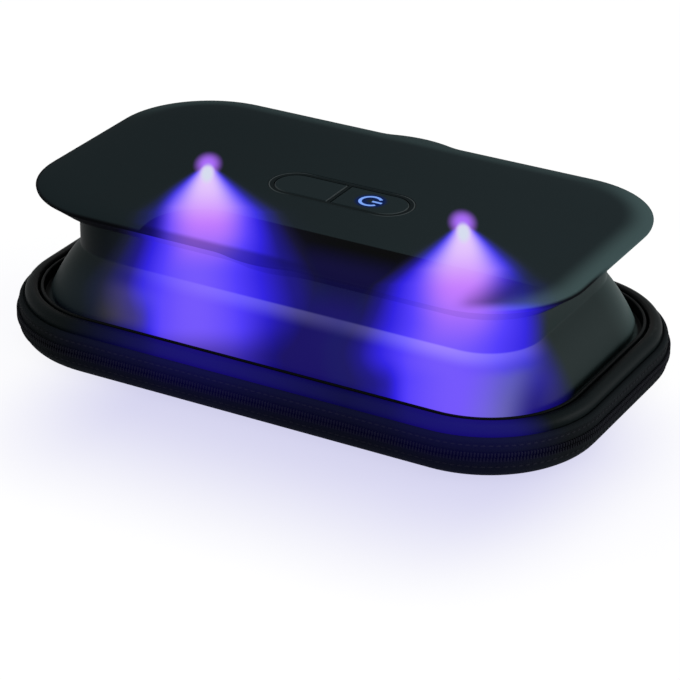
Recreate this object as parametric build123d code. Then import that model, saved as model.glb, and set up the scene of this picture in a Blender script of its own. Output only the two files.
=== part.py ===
"""Pop-up ultraviolet sanitizer case for a phone, as an assembly of its separate pieces.

Millimetres. X runs along the case, -Y is its front and +Z is up from the table it stands on.
Every outline is a set distance from one core rectangle, so all rings are concentric: a length
called a radius below is measured outwards from that core.
"""

from build123d import *
import math
import os

os.makedirs("parts", exist_ok=True)

# ---------------------------------------------------------------- driving dimensions
CORE_LENGTH = 144.0  # between the centres of the corner arcs, along X
CORE_WIDTH = 50.0  # between the centres of the corner arcs, along Y

# clearances
SEAT_GAP = 0.1  # between pieces clamped or glued face to face
RUN_GAP = 0.3  # between pieces that move past each other
SCREW_GAP = 0.1  # around a screw's shank, on the radius

# soft shells and zip
SHELL_RADIUS = 44.8
SHELL_WALL = 2.2
FLOOR_ROUND = 8.0
ZIP_HEIGHT = 10.5
ZIP_SPLIT = 0.1
TAPE_WIDTH = 4.9
TAPE_LAP = 1.9
TAPE_THICKNESS = 0.6
COIL_WIDTH = 1.6
COIL_DEPTH = 1.1
STOP_LENGTH = 2.2
STOP_PROUD = 0.2
SHELL_SHOULDER = 1.5
LINER_THICKNESS = 0.8

# fabric hinge along the back
HINGE_HALF_LENGTH = 60.0
LEAF_PROUD = 0.7
LEAF_LAP = 1.8
HINGE_SLACK = 1.6  # pivot line outside the shells

# hard rim and the ring that clamps the sleeve under it
RIM_SEAT_HEIGHT = 5.9  # above the zip line
SHELL_FLANGE_THICKNESS = 1.5
SHELL_LIP_HEIGHT = 0.7
SHELL_LIP_WIDTH = 1.5
GROOVE_WIDTH = 0.8
RIM_WIDTH = 5.0
RIM_SHOULDER_WIDTH = 2.8
RIM_OVERLAP = 1.4  # how far the rim reaches in past the shell's flange
RIM_HEIGHT = 4.6
RIM_SIDE_HEIGHT = 1.4
RIM_WALL = 1.6
CLAMP_WIDTH = 9.2
CLAMP_THICKNESS = 1.5

# pop-up sleeve
SLEEVE_WALL = 1.4
SKIRT_INSET = 3.4  # foot of the skirt inside the lip
SKIRT_RISE = 21.3  # rim seat up to the crease
SKIRT_BULGE = 1.1
SKIRT_TUCK_HEIGHT = 3.0
SKIRT_LEAN = 11.3  # crease inside the foot of the skirt
NECK_RISE = 16.3  # crease up to the lid
COLLAR_WIDTH = 5.6
LIP_INSET = 1.5  # lip inside the rim
LIP_WIDTH = 1.3
LIP_HEIGHT = 4.4

# lid
LID_INSET = 7.9  # edge of the lid inside the shells
LID_DEPTH = 8.6
LID_WALL = 1.5
LID_EDGE_DROP = 1.5
LID_LIP_HEIGHT = 0.9
LID_LIP_WIDTH = 1.2
BUMP_PROUD = 2.6
BUMP_BLEND_RADIUS = 22.0
BASE_EDGE_WIDTH = 8.4  # swept-up edge of the lid's underside
BASE_WALL = 1.5
POD_INSET = 8.9  # pod inside the neck
POD_DEPTH = 4.5
NECK_RING_THICKNESS = 1.6
NECK_RING_OVERLAP = 3.9

# pill-shaped control
CONTROL_LENGTH = 58.6
CONTROL_WIDTH = 21.2
CONTROL_RIM = 2.2
CONTROL_SUNK = 0.1
DIVIDER_X = -0.9
DIVIDER_WIDTH = 1.2
KEY_GAP = 0.3
KEY_THICKNESS = 1.4
KEY_FLANGE = 0.8
KEY_FLANGE_THICKNESS = 0.8
KEY_TRAVEL = 0.6
KEY_STEM_RADIUS = 1.6
SYMBOL_X = 12.1
SYMBOL_RADIUS = 4.5
SYMBOL_STROKE = 1.2
SYMBOL_DEPTH = 0.5
SYMBOL_OPENING = 76.0

# electronics
LED_BOARD_GAP = 1.3  # main board to each lamp board
WINDOW_RADIUS = 8.5
WINDOW_THICKNESS = 1.2
MOUTH_RADIUS = 7.0
REFLECTOR_HEIGHT = 3.8
REFLECTOR_THROAT = 3.2
LED_BOARD_LENGTH = 24.0
LED_BOARD_WIDTH = 20.0
BOARD_THICKNESS = 1.0
LED_SIZE = 3.5
LED_HEIGHT = 1.1
MAIN_BOARD_LENGTH = 80.0
MAIN_BOARD_WIDTH = 44.0
MAIN_BOARD_THICKNESS = 1.2
CONTROLLER_SIZE = 7.0
CHOKE_SIZE = 5.0
CHOKE_HEIGHT = 1.8
DRIVER_LENGTH = 5.0
DRIVER_WIDTH = 4.0
DRIVER_HEIGHT = 1.1
SWITCH_SIZE = 6.0
SWITCH_HEIGHT = 1.6
BATTERY_LENGTH = 62.0
BATTERY_WIDTH = 34.0
BATTERY_GAP = 0.3
BOARD_INSET = 3.5
POST_RADIUS = 2.3
FLEX_THICKNESS = 0.2
FLEX_WIDTH = 8.0
USB_WIDTH = 9.0
USB_HEIGHT = 3.2
USB_DEPTH = 7.4
USB_SHELL = 0.35
USB_BOARD_WIDTH = 14.0
USB_BOARD_DEPTH = 9.4
USB_HOUSING_WALL = 1.1

# screws
SCREW_RADIUS = 0.8
HEAD_RADIUS = 1.5
HEAD_HEIGHT = 1.0

# zip slider and its pull
SLIDER_Y = 18.0
SLIDER_LENGTH = 10.4
SLIDER_WIDTH = 6.6
SLIDER_TAIL_WIDTH = 5.0
SLIDER_PLATE = 1.1
ARCH_WIDTH = 2.2
ARCH_LENGTH = 6.8
ARCH_BAR = 0.9
PULL_LENGTH = 22.0
PULL_WIDTH = 5.2
PULL_THICKNESS = 1.1
PULL_PIN_RADIUS = 0.45
PULL_GAP = 0.15
PULL_WINDOW = 4.4

# ---------------------------------------------------------------- heights that follow
LOWER_EDGE = ZIP_HEIGHT - ZIP_SPLIT / 2
UPPER_EDGE = ZIP_HEIGHT + ZIP_SPLIT / 2
TAPE_BOTTOM = LOWER_EDGE - TAPE_WIDTH
TAPE_TOP = UPPER_EDGE + TAPE_WIDTH
LOWER_SHELL_TOP = TAPE_BOTTOM + TAPE_LAP
UPPER_SHELL_BOTTOM = TAPE_TOP - TAPE_LAP
RIM_SEAT = ZIP_HEIGHT + RIM_SEAT_HEIGHT
SLEEVE_BOTTOM = RIM_SEAT - SLEEVE_WALL
CLAMP_TOP = RIM_SEAT - SHELL_FLANGE_THICKNESS - SEAT_GAP / 2
RIM_BOTTOM = RIM_SEAT + SEAT_GAP
RIM_TOP = RIM_BOTTOM + RIM_HEIGHT
CREASE = RIM_SEAT + SKIRT_RISE
NECK_TOP = CREASE + NECK_RISE
LID_BOTTOM = NECK_TOP + SEAT_GAP
FLANGE_TOP = LID_BOTTOM + BASE_WALL
LID_TOP = LID_BOTTOM + LID_DEPTH
LID_CEILING = LID_TOP - LID_WALL
LID_EDGE = LID_TOP - LID_EDGE_DROP
LID_LIP_BOTTOM = LID_EDGE - LID_LIP_HEIGHT
POD_BOTTOM = LID_BOTTOM - POD_DEPTH
POD_FLOOR = POD_BOTTOM + BASE_WALL
CONTROL_TOP = LID_TOP - CONTROL_SUNK
LEDGE = CONTROL_TOP - KEY_THICKNESS
KEY_FLANGE_TOP = LEDGE - SEAT_GAP
KEY_FLANGE_BOTTOM = KEY_FLANGE_TOP - KEY_FLANGE_THICKNESS
WINDOW_BOTTOM = POD_FLOOR - WINDOW_THICKNESS * 0.6
REFLECTOR_BOTTOM = WINDOW_BOTTOM + WINDOW_THICKNESS + SEAT_GAP
LED_BOARD_BOTTOM = REFLECTOR_BOTTOM + REFLECTOR_HEIGHT + SEAT_GAP
LED_BOARD_TOP = LED_BOARD_BOTTOM + BOARD_THICKNESS
MAIN_BOARD_TOP = LED_BOARD_TOP + SEAT_GAP
MAIN_BOARD_BOTTOM = MAIN_BOARD_TOP - MAIN_BOARD_THICKNESS
SWITCH_TOP = MAIN_BOARD_TOP + SWITCH_HEIGHT

# ---------------------------------------------------------------- radii that follow
TAPE_RADIUS = SHELL_RADIUS - TAPE_THICKNESS
COIL_RADIUS = SHELL_RADIUS + SEAT_GAP / 2
SHELL_INNER_RADIUS = SHELL_RADIUS - SHELL_WALL
GROOVE_RADIUS = SHELL_RADIUS - SHELL_LIP_WIDTH
RIM_RADIUS = GROOVE_RADIUS - GROOVE_WIDTH
RIM_CREST_RADIUS = RIM_RADIUS - RIM_SHOULDER_WIDTH
RIM_INNER_RADIUS = RIM_RADIUS - RIM_WIDTH
SHELL_FLANGE_RADIUS = RIM_INNER_RADIUS + RIM_OVERLAP
CLAMP_OUTER_RADIUS = SHELL_INNER_RADIUS - 2 * RUN_GAP
CLAMP_INNER_RADIUS = CLAMP_OUTER_RADIUS - CLAMP_WIDTH
LIP_RADIUS = RIM_INNER_RADIUS - LIP_INSET
SKIRT_RADIUS = LIP_RADIUS - SKIRT_INSET
NECK_RADIUS = SKIRT_RADIUS - SKIRT_LEAN
COLLAR_RADIUS = NECK_RADIUS - COLLAR_WIDTH
NECK_INNER_RADIUS = NECK_RADIUS - SLEEVE_WALL
LID_RADIUS = SHELL_RADIUS - LID_INSET
BASE_FLANGE_RADIUS = LID_RADIUS - BASE_EDGE_WIDTH
POD_RADIUS = NECK_RADIUS - POD_INSET
POD_INNER_RADIUS = POD_RADIUS - BASE_WALL
RING_INNER_RADIUS = POD_RADIUS + RUN_GAP
NECK_SCREW_RADIUS = (POD_RADIUS + COLLAR_RADIUS) / 2
RIM_SCREW_RADIUS = (SHELL_FLANGE_RADIUS + CLAMP_OUTER_RADIUS) / 2
LID_SCREW_RADIUS = (NECK_RADIUS + BASE_FLANGE_RADIUS) / 2
HINGE_RADIUS = SHELL_RADIUS + HINGE_SLACK
PULL_AXIS_RADIUS = COIL_RADIUS + COIL_DEPTH + RUN_GAP + SLIDER_PLATE + PULL_GAP + PULL_PIN_RADIUS

LED_X = MAIN_BOARD_LENGTH / 2 + LED_BOARD_GAP + LED_BOARD_LENGTH / 2

parts = {}


# ---------------------------------------------------------------- shared forms
def arc_about(centre, radius, start, end):
    """An arc in plan about a centre, between two angles in degrees."""
    points = []
    for angle in (start, (start + end) / 2, end):
        turn = math.radians(angle)
        points.append((centre[0] + radius * math.cos(turn), centre[1] + radius * math.sin(turn)))
    return ThreePointArc(*points)


def long_side(radius, bump):
    """The back long side of an outline, right to left, with a thumb bump where bump is above 0."""
    half, rear = CORE_LENGTH / 2, CORE_WIDTH / 2 + radius
    if bump == 0:
        return [Line((half, rear), (-half, rear))]
    # The crest turns about a point on the core line, and a hollow arc blends it into the side.
    crest = radius + bump
    hollow = BUMP_BLEND_RADIUS + LID_RADIUS - radius
    rise = radius + hollow
    reach = math.sqrt((crest + hollow) ** 2 - rise**2)
    lean = math.degrees(math.asin(reach / (crest + hollow)))
    core, outer = (0, CORE_WIDTH / 2), CORE_WIDTH / 2 + rise
    return [
        Line((half, rear), (reach, rear)),
        arc_about((reach, outer), hollow, 270, 270 - lean),
        arc_about(core, crest, 90 - lean, 90 + lean),
        arc_about((-reach, outer), hollow, 270 + lean, 270),
        Line((-reach, rear), (-half, rear)),
    ]


def plan(radius, bump=0.0):
    """The closed outline at a radius, starting at the middle of the right-hand side."""
    x, y = CORE_LENGTH / 2, CORE_WIDTH / 2
    rear = [Line((x + radius, 0), (x + radius, y)), arc_about((x, y), radius, 0, 90)]
    rear += long_side(radius, bump)
    rear += [arc_about((-x, y), radius, 90, 180), Line((-x - radius, y), (-x - radius, 0))]
    front = [Rot(0, 0, 180) * edge for edge in rear]
    return Wire(rear + front)


def plate(radius, low, high, bump=0.0):
    """A flat plate with the outline at a radius."""
    return Pos(0, 0, low) * extrude(make_face(plan(radius, bump)), high - low)


def section(points, rounds=()):
    """A face in radius and height; rounds lists (corner number, radius)."""
    face = make_face(Polyline(*points, close=True))
    for corner, radius in rounds:
        nearest = face.vertices().sort_by_distance(Vector(*points[corner], 0))[0]
        face = fillet(nearest, radius)
    return face


def band(inner, outer, low, high):
    """A rectangle in radius and height."""
    return Pos((inner + outer) / 2, (low + high) / 2) * Rectangle(outer - inner, high - low)


def ring(face, bump=0.0):
    """The face carried once round the core."""
    start = Pos(CORE_LENGTH / 2, 0, 0) * (Plane.XZ * face)
    return sweep(start, path=plan(LID_RADIUS, bump))


def post(x, y, low, high, radius):
    """An upright cylinder between two heights."""
    return Pos(x, y, (low + high) / 2) * Cylinder(radius, high - low)


def block(x, y, low, high, length, width):
    """An upright box between two heights."""
    return Pos(x, y, (low + high) / 2) * Box(length, width, high - low)


def side_spots(radius):
    """Eight fastener places on the long sides at a radius."""
    y = CORE_WIDTH / 2 + radius
    columns = [CORE_LENGTH * share for share in (-0.5, -1 / 6, 1 / 6, 0.5)]
    return [(x, side * y) for side in (-1, 1) for x in columns]


def screws_from_below(spots, seat, tip):
    """One pan-head screw at each place, with its head under the seat."""
    one = post(0, 0, seat - HEAD_HEIGHT, seat, HEAD_RADIUS) + post(0, 0, seat, tip, SCREW_RADIUS)
    return Compound([Pos(x, y, 0) * one for x, y in spots])


def screws_from_above(spots, seat, tip):
    """One pan-head screw at each place, with its head on the seat."""
    one = post(0, 0, seat, seat + HEAD_HEIGHT, HEAD_RADIUS) + post(0, 0, tip, seat, SCREW_RADIUS)
    return Compound([Pos(x, y, 0) * one for x, y in spots])


def drill(shape, spots, low, high):
    """Clearance holes for screws at each place."""
    for x, y in spots:
        shape -= post(x, y, low, high, SCREW_RADIUS + SCREW_GAP)
    return shape


# ---------------------------------------------------------------- lower half of the case
def bowl(inset):
    """Section of a round-edged tray, at an inset from the lower shell's outside."""
    wall = SHELL_RADIUS - inset
    floor_end = SHELL_RADIUS - FLOOR_ROUND - SHELL_WALL
    corners = [(floor_end, inset), (wall, inset), (wall, ZIP_HEIGHT), (floor_end, ZIP_HEIGHT)]
    return section(corners, [(1, max(min(FLOOR_ROUND, ZIP_HEIGHT - SEAT_GAP) - inset, SEAT_GAP))])


def lower_shell():
    """Moulded soft tray with a rounded floor edge and a seat for the zip tape."""
    floor_end = SHELL_RADIUS - FLOOR_ROUND - SHELL_WALL
    above = band(floor_end, SHELL_RADIUS, LOWER_SHELL_TOP, ZIP_HEIGHT)
    seat = band(TAPE_RADIUS - SEAT_GAP / 2, SHELL_RADIUS, TAPE_BOTTOM - SEAT_GAP / 2, ZIP_HEIGHT)
    wall = bowl(0) - bowl(SHELL_WALL) - above - seat
    return ring(wall) + plate(floor_end + 1, 0, SHELL_WALL)


def tray_liner():
    """Thin reflective lining inside the lower shell."""
    outside = SHELL_WALL + SEAT_GAP
    inside = outside + LINER_THICKNESS
    floor_end = SHELL_RADIUS - FLOOR_ROUND - SHELL_WALL
    above = band(floor_end, SHELL_RADIUS, LOWER_SHELL_TOP - RUN_GAP, ZIP_HEIGHT)
    return ring(bowl(outside) - bowl(inside) - above) + plate(floor_end + 1, outside, inside)


# ---------------------------------------------------------------- zip and fabric hinge
def back_gap(half_length):
    """The stretch of the back wall that the zip leaves to the hinge."""
    depth = 4 * (SHELL_WALL + COIL_DEPTH)
    return block(0, CORE_WIDTH / 2 + SHELL_RADIUS, 0, CREASE, 2 * half_length, depth)


def zip_tape(low, high):
    """One half's tape, all round but for the hinge."""
    tape = ring(band(TAPE_RADIUS, SHELL_RADIUS, low, high))
    return tape - back_gap(HINGE_HALF_LENGTH + SEAT_GAP)


def zip_coil(low, high):
    """One half's coil as the plain bead that its turns fill."""
    outer = COIL_RADIUS + COIL_DEPTH
    slope = COIL_WIDTH / 4
    outline = Polyline(
        (COIL_RADIUS, low),
        (outer - slope, low),
        (outer, low + slope),
        (outer, high - slope),
        (outer - slope, high),
        (COIL_RADIUS, high),
        close=True,
    )
    bead = ring(make_face(outline))
    return bead - back_gap(HINGE_HALF_LENGTH + STOP_LENGTH + 2 * SEAT_GAP)


def zip_stops(low, high):
    """Crimped metal stops at the two ends of a coil."""
    outer = COIL_RADIUS + COIL_DEPTH + STOP_PROUD
    y = CORE_WIDTH / 2 + (COIL_RADIUS + outer) / 2
    x = HINGE_HALF_LENGTH + SEAT_GAP + STOP_LENGTH / 2
    return Compound([block(side * x, y, low, high, STOP_LENGTH, outer - COIL_RADIUS) for side in (-1, 1)])


def hinge_leaf(low, high, lap_low, lap_high):
    """One leaf of the fabric hinge: it fills the tape's seat and laps over the shell."""
    profile = band(TAPE_RADIUS, SHELL_RADIUS + LEAF_PROUD, low, high)
    profile += band(SHELL_RADIUS + SEAT_GAP / 2, SHELL_RADIUS + LEAF_PROUD, lap_low, lap_high)
    strip = extrude(Plane.YZ * profile, HINGE_HALF_LENGTH, both=True)
    return Pos(0, CORE_WIDTH / 2, 0) * strip


# ---------------------------------------------------------------- upper half of the case
def upper_shell():
    """Soft band above the zip, with a lip outside the groove and a flange under the rim."""
    lip_top = RIM_SEAT + SHELL_LIP_HEIGHT
    under = RIM_SEAT - SHELL_FLANGE_THICKNESS
    face = section(
        [
            (SHELL_INNER_RADIUS, UPPER_SHELL_BOTTOM),
            (SHELL_RADIUS, UPPER_SHELL_BOTTOM),
            (SHELL_RADIUS, lip_top),
            (GROOVE_RADIUS, lip_top),
            (GROOVE_RADIUS, RIM_SEAT),
            (SHELL_FLANGE_RADIUS, RIM_SEAT),
            (SHELL_FLANGE_RADIUS, under),
            (SHELL_INNER_RADIUS, under),
        ],
        [(2, min(SHELL_SHOULDER, SHELL_RADIUS - GROOVE_RADIUS - SEAT_GAP / 2))],
    )
    seat = band(TAPE_RADIUS - SEAT_GAP / 2, SHELL_RADIUS, ZIP_HEIGHT, TAPE_TOP + SEAT_GAP / 2)
    return drill(ring(face - seat), side_spots(RIM_SCREW_RADIUS), SLEEVE_BOTTOM - CLAMP_THICKNESS, RIM_SEAT)


def rim_bezel():
    """Hard convex rim, hollow underneath, with a boss for each clamp screw."""
    outline = Polyline(
        (RIM_CREST_RADIUS, RIM_TOP),
        (RIM_INNER_RADIUS, RIM_TOP),
        (RIM_INNER_RADIUS, RIM_BOTTOM),
        (RIM_RADIUS, RIM_BOTTOM),
        (RIM_RADIUS, RIM_BOTTOM + RIM_SIDE_HEIGHT),
    )
    span, rise = RIM_RADIUS - RIM_CREST_RADIUS, RIM_HEIGHT - RIM_SIDE_HEIGHT
    halfway = math.sqrt(0.5)
    shoulder = ThreePointArc(
        (RIM_RADIUS, RIM_BOTTOM + RIM_SIDE_HEIGHT),
        (RIM_CREST_RADIUS + span * halfway, RIM_TOP - rise * (1 - halfway)),
        (RIM_CREST_RADIUS, RIM_TOP),
    )
    face = make_face(outline + shoulder)
    inner_corner = face.vertices().sort_by_distance(Vector(RIM_INNER_RADIUS, RIM_TOP, 0))[0]
    face = fillet(inner_corner, min(RIM_WALL * 0.75, RIM_CREST_RADIUS - RIM_INNER_RADIUS - SEAT_GAP))
    hollow_top = RIM_TOP - RIM_WALL - rise * (1 - halfway)
    hollow = band(RIM_INNER_RADIUS + RIM_WALL, RIM_RADIUS - RIM_WALL, RIM_BOTTOM, hollow_top)
    rim = ring(face - hollow)
    spots = side_spots(RIM_SCREW_RADIUS)
    for x, y in spots:
        rim += post(x, y, RIM_BOTTOM, hollow_top + RIM_WALL / 4, HEAD_RADIUS)
    return drill(rim, spots, RIM_BOTTOM, hollow_top)


def sleeve_clamp():
    """Ring that presses the sleeve's flange and the shell's flange up against the rim."""
    low = CLAMP_TOP - CLAMP_THICKNESS
    body = ring(band(CLAMP_INNER_RADIUS, CLAMP_OUTER_RADIUS, low, CLAMP_TOP))
    return drill(body, side_spots(RIM_SCREW_RADIUS), low, CLAMP_TOP)


def pop_sleeve():
    """One moulded sleeve: flange, lip, flared skirt, crease, upright neck and top collar."""
    wall = SLEEVE_WALL
    valley = RIM_SEAT
    tuck = RIM_SEAT + SKIRT_TUCK_HEIGHT
    flange_end = SHELL_FLANGE_RADIUS - RUN_GAP
    tuck_radius = SKIRT_RADIUS - wall / 2
    middle = ((SKIRT_RADIUS + NECK_RADIUS) / 2, (tuck + CREASE) / 2)
    length = math.hypot(SKIRT_RADIUS - NECK_RADIUS, CREASE - tuck)
    bulge = SKIRT_BULGE * (CREASE - tuck) / length, SKIRT_BULGE * (SKIRT_RADIUS - NECK_RADIUS) / length
    outer_mid = (middle[0] + bulge[0], middle[1] + bulge[1])
    inner_mid = (outer_mid[0] - wall * (CREASE - tuck) / length, outer_mid[1] - wall * 0.5)
    outline = [
        Polyline(
            (tuck_radius - wall, SLEEVE_BOTTOM),
            (flange_end, SLEEVE_BOTTOM),
            (flange_end, valley),
            (LIP_RADIUS + LIP_WIDTH / 2, valley),
            (LIP_RADIUS + LIP_WIDTH / 2, valley + LIP_HEIGHT),
            (LIP_RADIUS - LIP_WIDTH / 2, valley + LIP_HEIGHT),
            (LIP_RADIUS - LIP_WIDTH / 2, valley),
            (tuck_radius, valley),
            (SKIRT_RADIUS, tuck),
        ),
        ThreePointArc((SKIRT_RADIUS, tuck), outer_mid, (NECK_RADIUS, CREASE)),
        Polyline(
            (NECK_RADIUS, CREASE),
            (NECK_RADIUS, NECK_TOP),
            (COLLAR_RADIUS, NECK_TOP),
            (COLLAR_RADIUS, NECK_TOP - wall),
            (NECK_INNER_RADIUS, NECK_TOP - wall),
            (NECK_INNER_RADIUS, CREASE - wall / 2),
        ),
        ThreePointArc(
            (NECK_INNER_RADIUS, CREASE - wall / 2), inner_mid, (SKIRT_RADIUS - wall, tuck - wall / 2)
        ),
        Line((SKIRT_RADIUS - wall, tuck - wall / 2), (tuck_radius - wall, SLEEVE_BOTTOM)),
    ]
    face = make_face(outline)
    foot = face.vertices().sort_by_distance(Vector(SKIRT_RADIUS, tuck, 0))[0]
    face = fillet(foot, wall)
    for radius, height, size in (
        (NECK_RADIUS, NECK_TOP, wall / 3),
        (LIP_RADIUS + LIP_WIDTH / 2, valley + LIP_HEIGHT, LIP_WIDTH / 4),
        (LIP_RADIUS - LIP_WIDTH / 2, valley + LIP_HEIGHT, LIP_WIDTH / 4),
    ):
        corner = face.vertices().sort_by_distance(Vector(radius, height, 0))[0]
        face = chamfer(corner, size)
    return ring(face)


# ---------------------------------------------------------------- lid
def lid_cover():
    """Crowned top shell with rolled-off edges, thumb bumps and the opening for the control."""
    flat_end = 4.0
    outline = [
        Polyline((flat_end / 2, LID_CEILING), (flat_end / 2, LID_TOP), (flat_end, LID_TOP)),
        Bezier(
            (flat_end, LID_TOP),
            (LID_RADIUS * 0.6, LID_TOP),
            (LID_RADIUS * 0.88, LID_TOP - 0.1),
            (LID_RADIUS, LID_EDGE),
        ),
        Polyline(
            (LID_RADIUS, LID_EDGE),
            (LID_RADIUS - LID_LIP_WIDTH / 6, LID_LIP_BOTTOM),
            (LID_RADIUS - LID_LIP_WIDTH, LID_LIP_BOTTOM),
            (LID_RADIUS * 0.66, LID_CEILING),
            (flat_end / 2, LID_CEILING),
        ),
    ]
    cover = ring(make_face(outline), BUMP_PROUD)
    cover += plate(flat_end * 0.75, LID_CEILING, LID_TOP, BUMP_PROUD)
    cover -= Pos(0, 0, LID_CEILING) * extrude(SlotOverall(CONTROL_LENGTH, CONTROL_WIDTH), LID_WALL)
    spots = side_spots(LID_SCREW_RADIUS)
    for x, y in spots:
        cover += post(x, y, FLANGE_TOP + SEAT_GAP, LID_CEILING, POST_RADIUS)
    return drill(cover, spots, FLANGE_TOP, LID_CEILING - LID_WALL)


def usb_housing(shape):
    """Sinks the charging socket's housing into the lid's underside, below the rear bump."""
    rear = CORE_WIDTH / 2 + LID_RADIUS + BUMP_PROUD - LID_LIP_WIDTH - 2 * SEAT_GAP
    front = rear - USB_HOUSING_WALL - USB_BOARD_DEPTH - 2 * SEAT_GAP
    y, depth = (front + rear) / 2, rear - front
    outer_width = USB_BOARD_WIDTH + 2 * USB_HOUSING_WALL + 2 * SEAT_GAP
    floor = LID_LIP_BOTTOM - 2 * SEAT_GAP - USB_HEIGHT - BOARD_THICKNESS
    shape -= block(0, y, floor, LID_LIP_BOTTOM, outer_width - USB_HOUSING_WALL, depth)
    shell = block(0, y, floor - USB_HOUSING_WALL, LID_LIP_BOTTOM - SEAT_GAP, outer_width, depth)
    inside = block(
        0,
        y - USB_HOUSING_WALL / 2,
        floor,
        LID_LIP_BOTTOM,
        outer_width - 2 * USB_HOUSING_WALL,
        depth - USB_HOUSING_WALL,
    )
    mouth = RectangleRounded(
        USB_WIDTH + 2 * SEAT_GAP, USB_HEIGHT + 2 * SEAT_GAP, USB_HEIGHT / 2
    )
    mouth_z = floor + BOARD_THICKNESS + SEAT_GAP + USB_HEIGHT / 2
    through = extrude(Plane.XZ * mouth, 2 * USB_HOUSING_WALL, both=True)
    entry = block(0, front, FLANGE_TOP, LID_LIP_BOTTOM, FLEX_WIDTH + 2 * RUN_GAP, 3 * USB_HOUSING_WALL)
    return shape + (shell - inside - Pos(0, rear, mouth_z) * through - entry), floor, rear


def lid_base():
    """Underside of the lid: a flange with a swept-up edge, and a pod for the electronics."""
    join = BASE_FLANGE_RADIUS - 3.0
    edge_radius = LID_RADIUS - LID_LIP_WIDTH - 2 * SEAT_GAP
    edge = section(
        [
            (join, LID_BOTTOM),
            (BASE_FLANGE_RADIUS, LID_BOTTOM),
            (edge_radius, LID_LIP_BOTTOM - BASE_WALL / 2),
            (edge_radius, LID_LIP_BOTTOM - SEAT_GAP),
            (edge_radius - BASE_WALL, LID_LIP_BOTTOM - SEAT_GAP),
            (BASE_FLANGE_RADIUS - BASE_WALL / 3, FLANGE_TOP),
            (join, FLANGE_TOP),
        ],
    )
    pod = make_face(
        Polyline(
            (POD_INNER_RADIUS, POD_BOTTOM),
            (POD_RADIUS, POD_BOTTOM),
            (POD_RADIUS, LID_BOTTOM),
            (join + 1, LID_BOTTOM),
            (join + 1, FLANGE_TOP),
            (POD_INNER_RADIUS, FLANGE_TOP),
            close=True,
        )
    )
    base = ring(edge, BUMP_PROUD) + ring(pod) + plate(POD_INNER_RADIUS + 0.5, POD_BOTTOM, POD_FLOOR)
    for x in (-LED_X, LED_X):
        base -= post(x, 0, POD_BOTTOM, POD_FLOOR, MOUTH_RADIUS)
        base -= post(x, 0, WINDOW_BOTTOM, POD_FLOOR, WINDOW_RADIUS + SEAT_GAP)
    for x, y in board_spots():
        base += post(x, y, POD_FLOOR - BASE_WALL / 2, MAIN_BOARD_BOTTOM - SEAT_GAP, POST_RADIUS)
    for x, y in led_board_spots():
        base += post(x, y, POD_FLOOR - BASE_WALL / 2, LED_BOARD_BOTTOM - SEAT_GAP, POST_RADIUS)
    base = drill(base, board_spots() + led_board_spots(), POD_FLOOR, MAIN_BOARD_BOTTOM)
    base = drill(base, side_spots(LID_SCREW_RADIUS) + side_spots(NECK_SCREW_RADIUS), LID_BOTTOM, FLANGE_TOP)
    return usb_housing(base)


def neck_ring():
    """Ring that clamps the sleeve's collar up against the lid."""
    high = NECK_TOP - SLEEVE_WALL - SEAT_GAP
    low = high - NECK_RING_THICKNESS
    body = ring(band(RING_INNER_RADIUS, COLLAR_RADIUS + NECK_RING_OVERLAP, low, high))
    return drill(body, side_spots(NECK_SCREW_RADIUS), low, high), low


# ---------------------------------------------------------------- control on the lid
def control_window(grow=0.0):
    """Outline of the control inside its bezel."""
    length, width = CONTROL_LENGTH - 2 * CONTROL_RIM, CONTROL_WIDTH - 2 * CONTROL_RIM
    return SlotOverall(length + 2 * grow, width + 2 * grow)


def control_half(side, grow=0.0):
    """Outline of one half of the control; side is +1 for the key and -1 for the blank plate."""
    edge = DIVIDER_X + side * (DIVIDER_WIDTH / 2 + KEY_GAP - grow)
    half = Pos(edge + side * CONTROL_LENGTH / 2, 0) * Rectangle(CONTROL_LENGTH, CONTROL_WIDTH)
    return control_window(grow - KEY_GAP) & half


def control_bezel():
    """Pill-shaped bezel with a divider bar and a flange glued under the lid."""
    outer = SlotOverall(CONTROL_LENGTH - 2 * KEY_GAP, CONTROL_WIDTH - 2 * KEY_GAP)
    bar = Pos(DIVIDER_X, 0) * Rectangle(DIVIDER_WIDTH, CONTROL_WIDTH - CONTROL_RIM)
    top = Pos(0, 0, LEDGE) * extrude(outer - control_window() + bar, CONTROL_TOP - LEDGE)
    flange_outline = SlotOverall(CONTROL_LENGTH + 2 * CONTROL_RIM, CONTROL_WIDTH + 2 * CONTROL_RIM)
    flange_outline -= control_window(KEY_FLANGE + KEY_GAP)
    high = min(LID_CEILING - SEAT_GAP, LEDGE)
    flange = Pos(0, 0, high - KEY_THICKNESS / 2) * extrude(flange_outline, KEY_THICKNESS / 2)
    riser_outline = outer - control_window(KEY_FLANGE + KEY_GAP)
    riser = Pos(0, 0, high - KEY_THICKNESS / 2) * extrude(riser_outline, LEDGE - high + KEY_THICKNESS)
    return top + flange + riser


def control_cap(side):
    """One half's cap with its retaining flange and softened top edge."""
    cap = Pos(0, 0, KEY_FLANGE_TOP) * extrude(control_half(side), CONTROL_TOP - KEY_FLANGE_TOP)
    cap = chamfer(cap.faces().sort_by(Axis.Z)[-1].edges(), KEY_GAP)
    flange = extrude(control_half(side, KEY_FLANGE), KEY_FLANGE_THICKNESS)
    return cap + Pos(0, 0, KEY_FLANGE_BOTTOM) * flange


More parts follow.
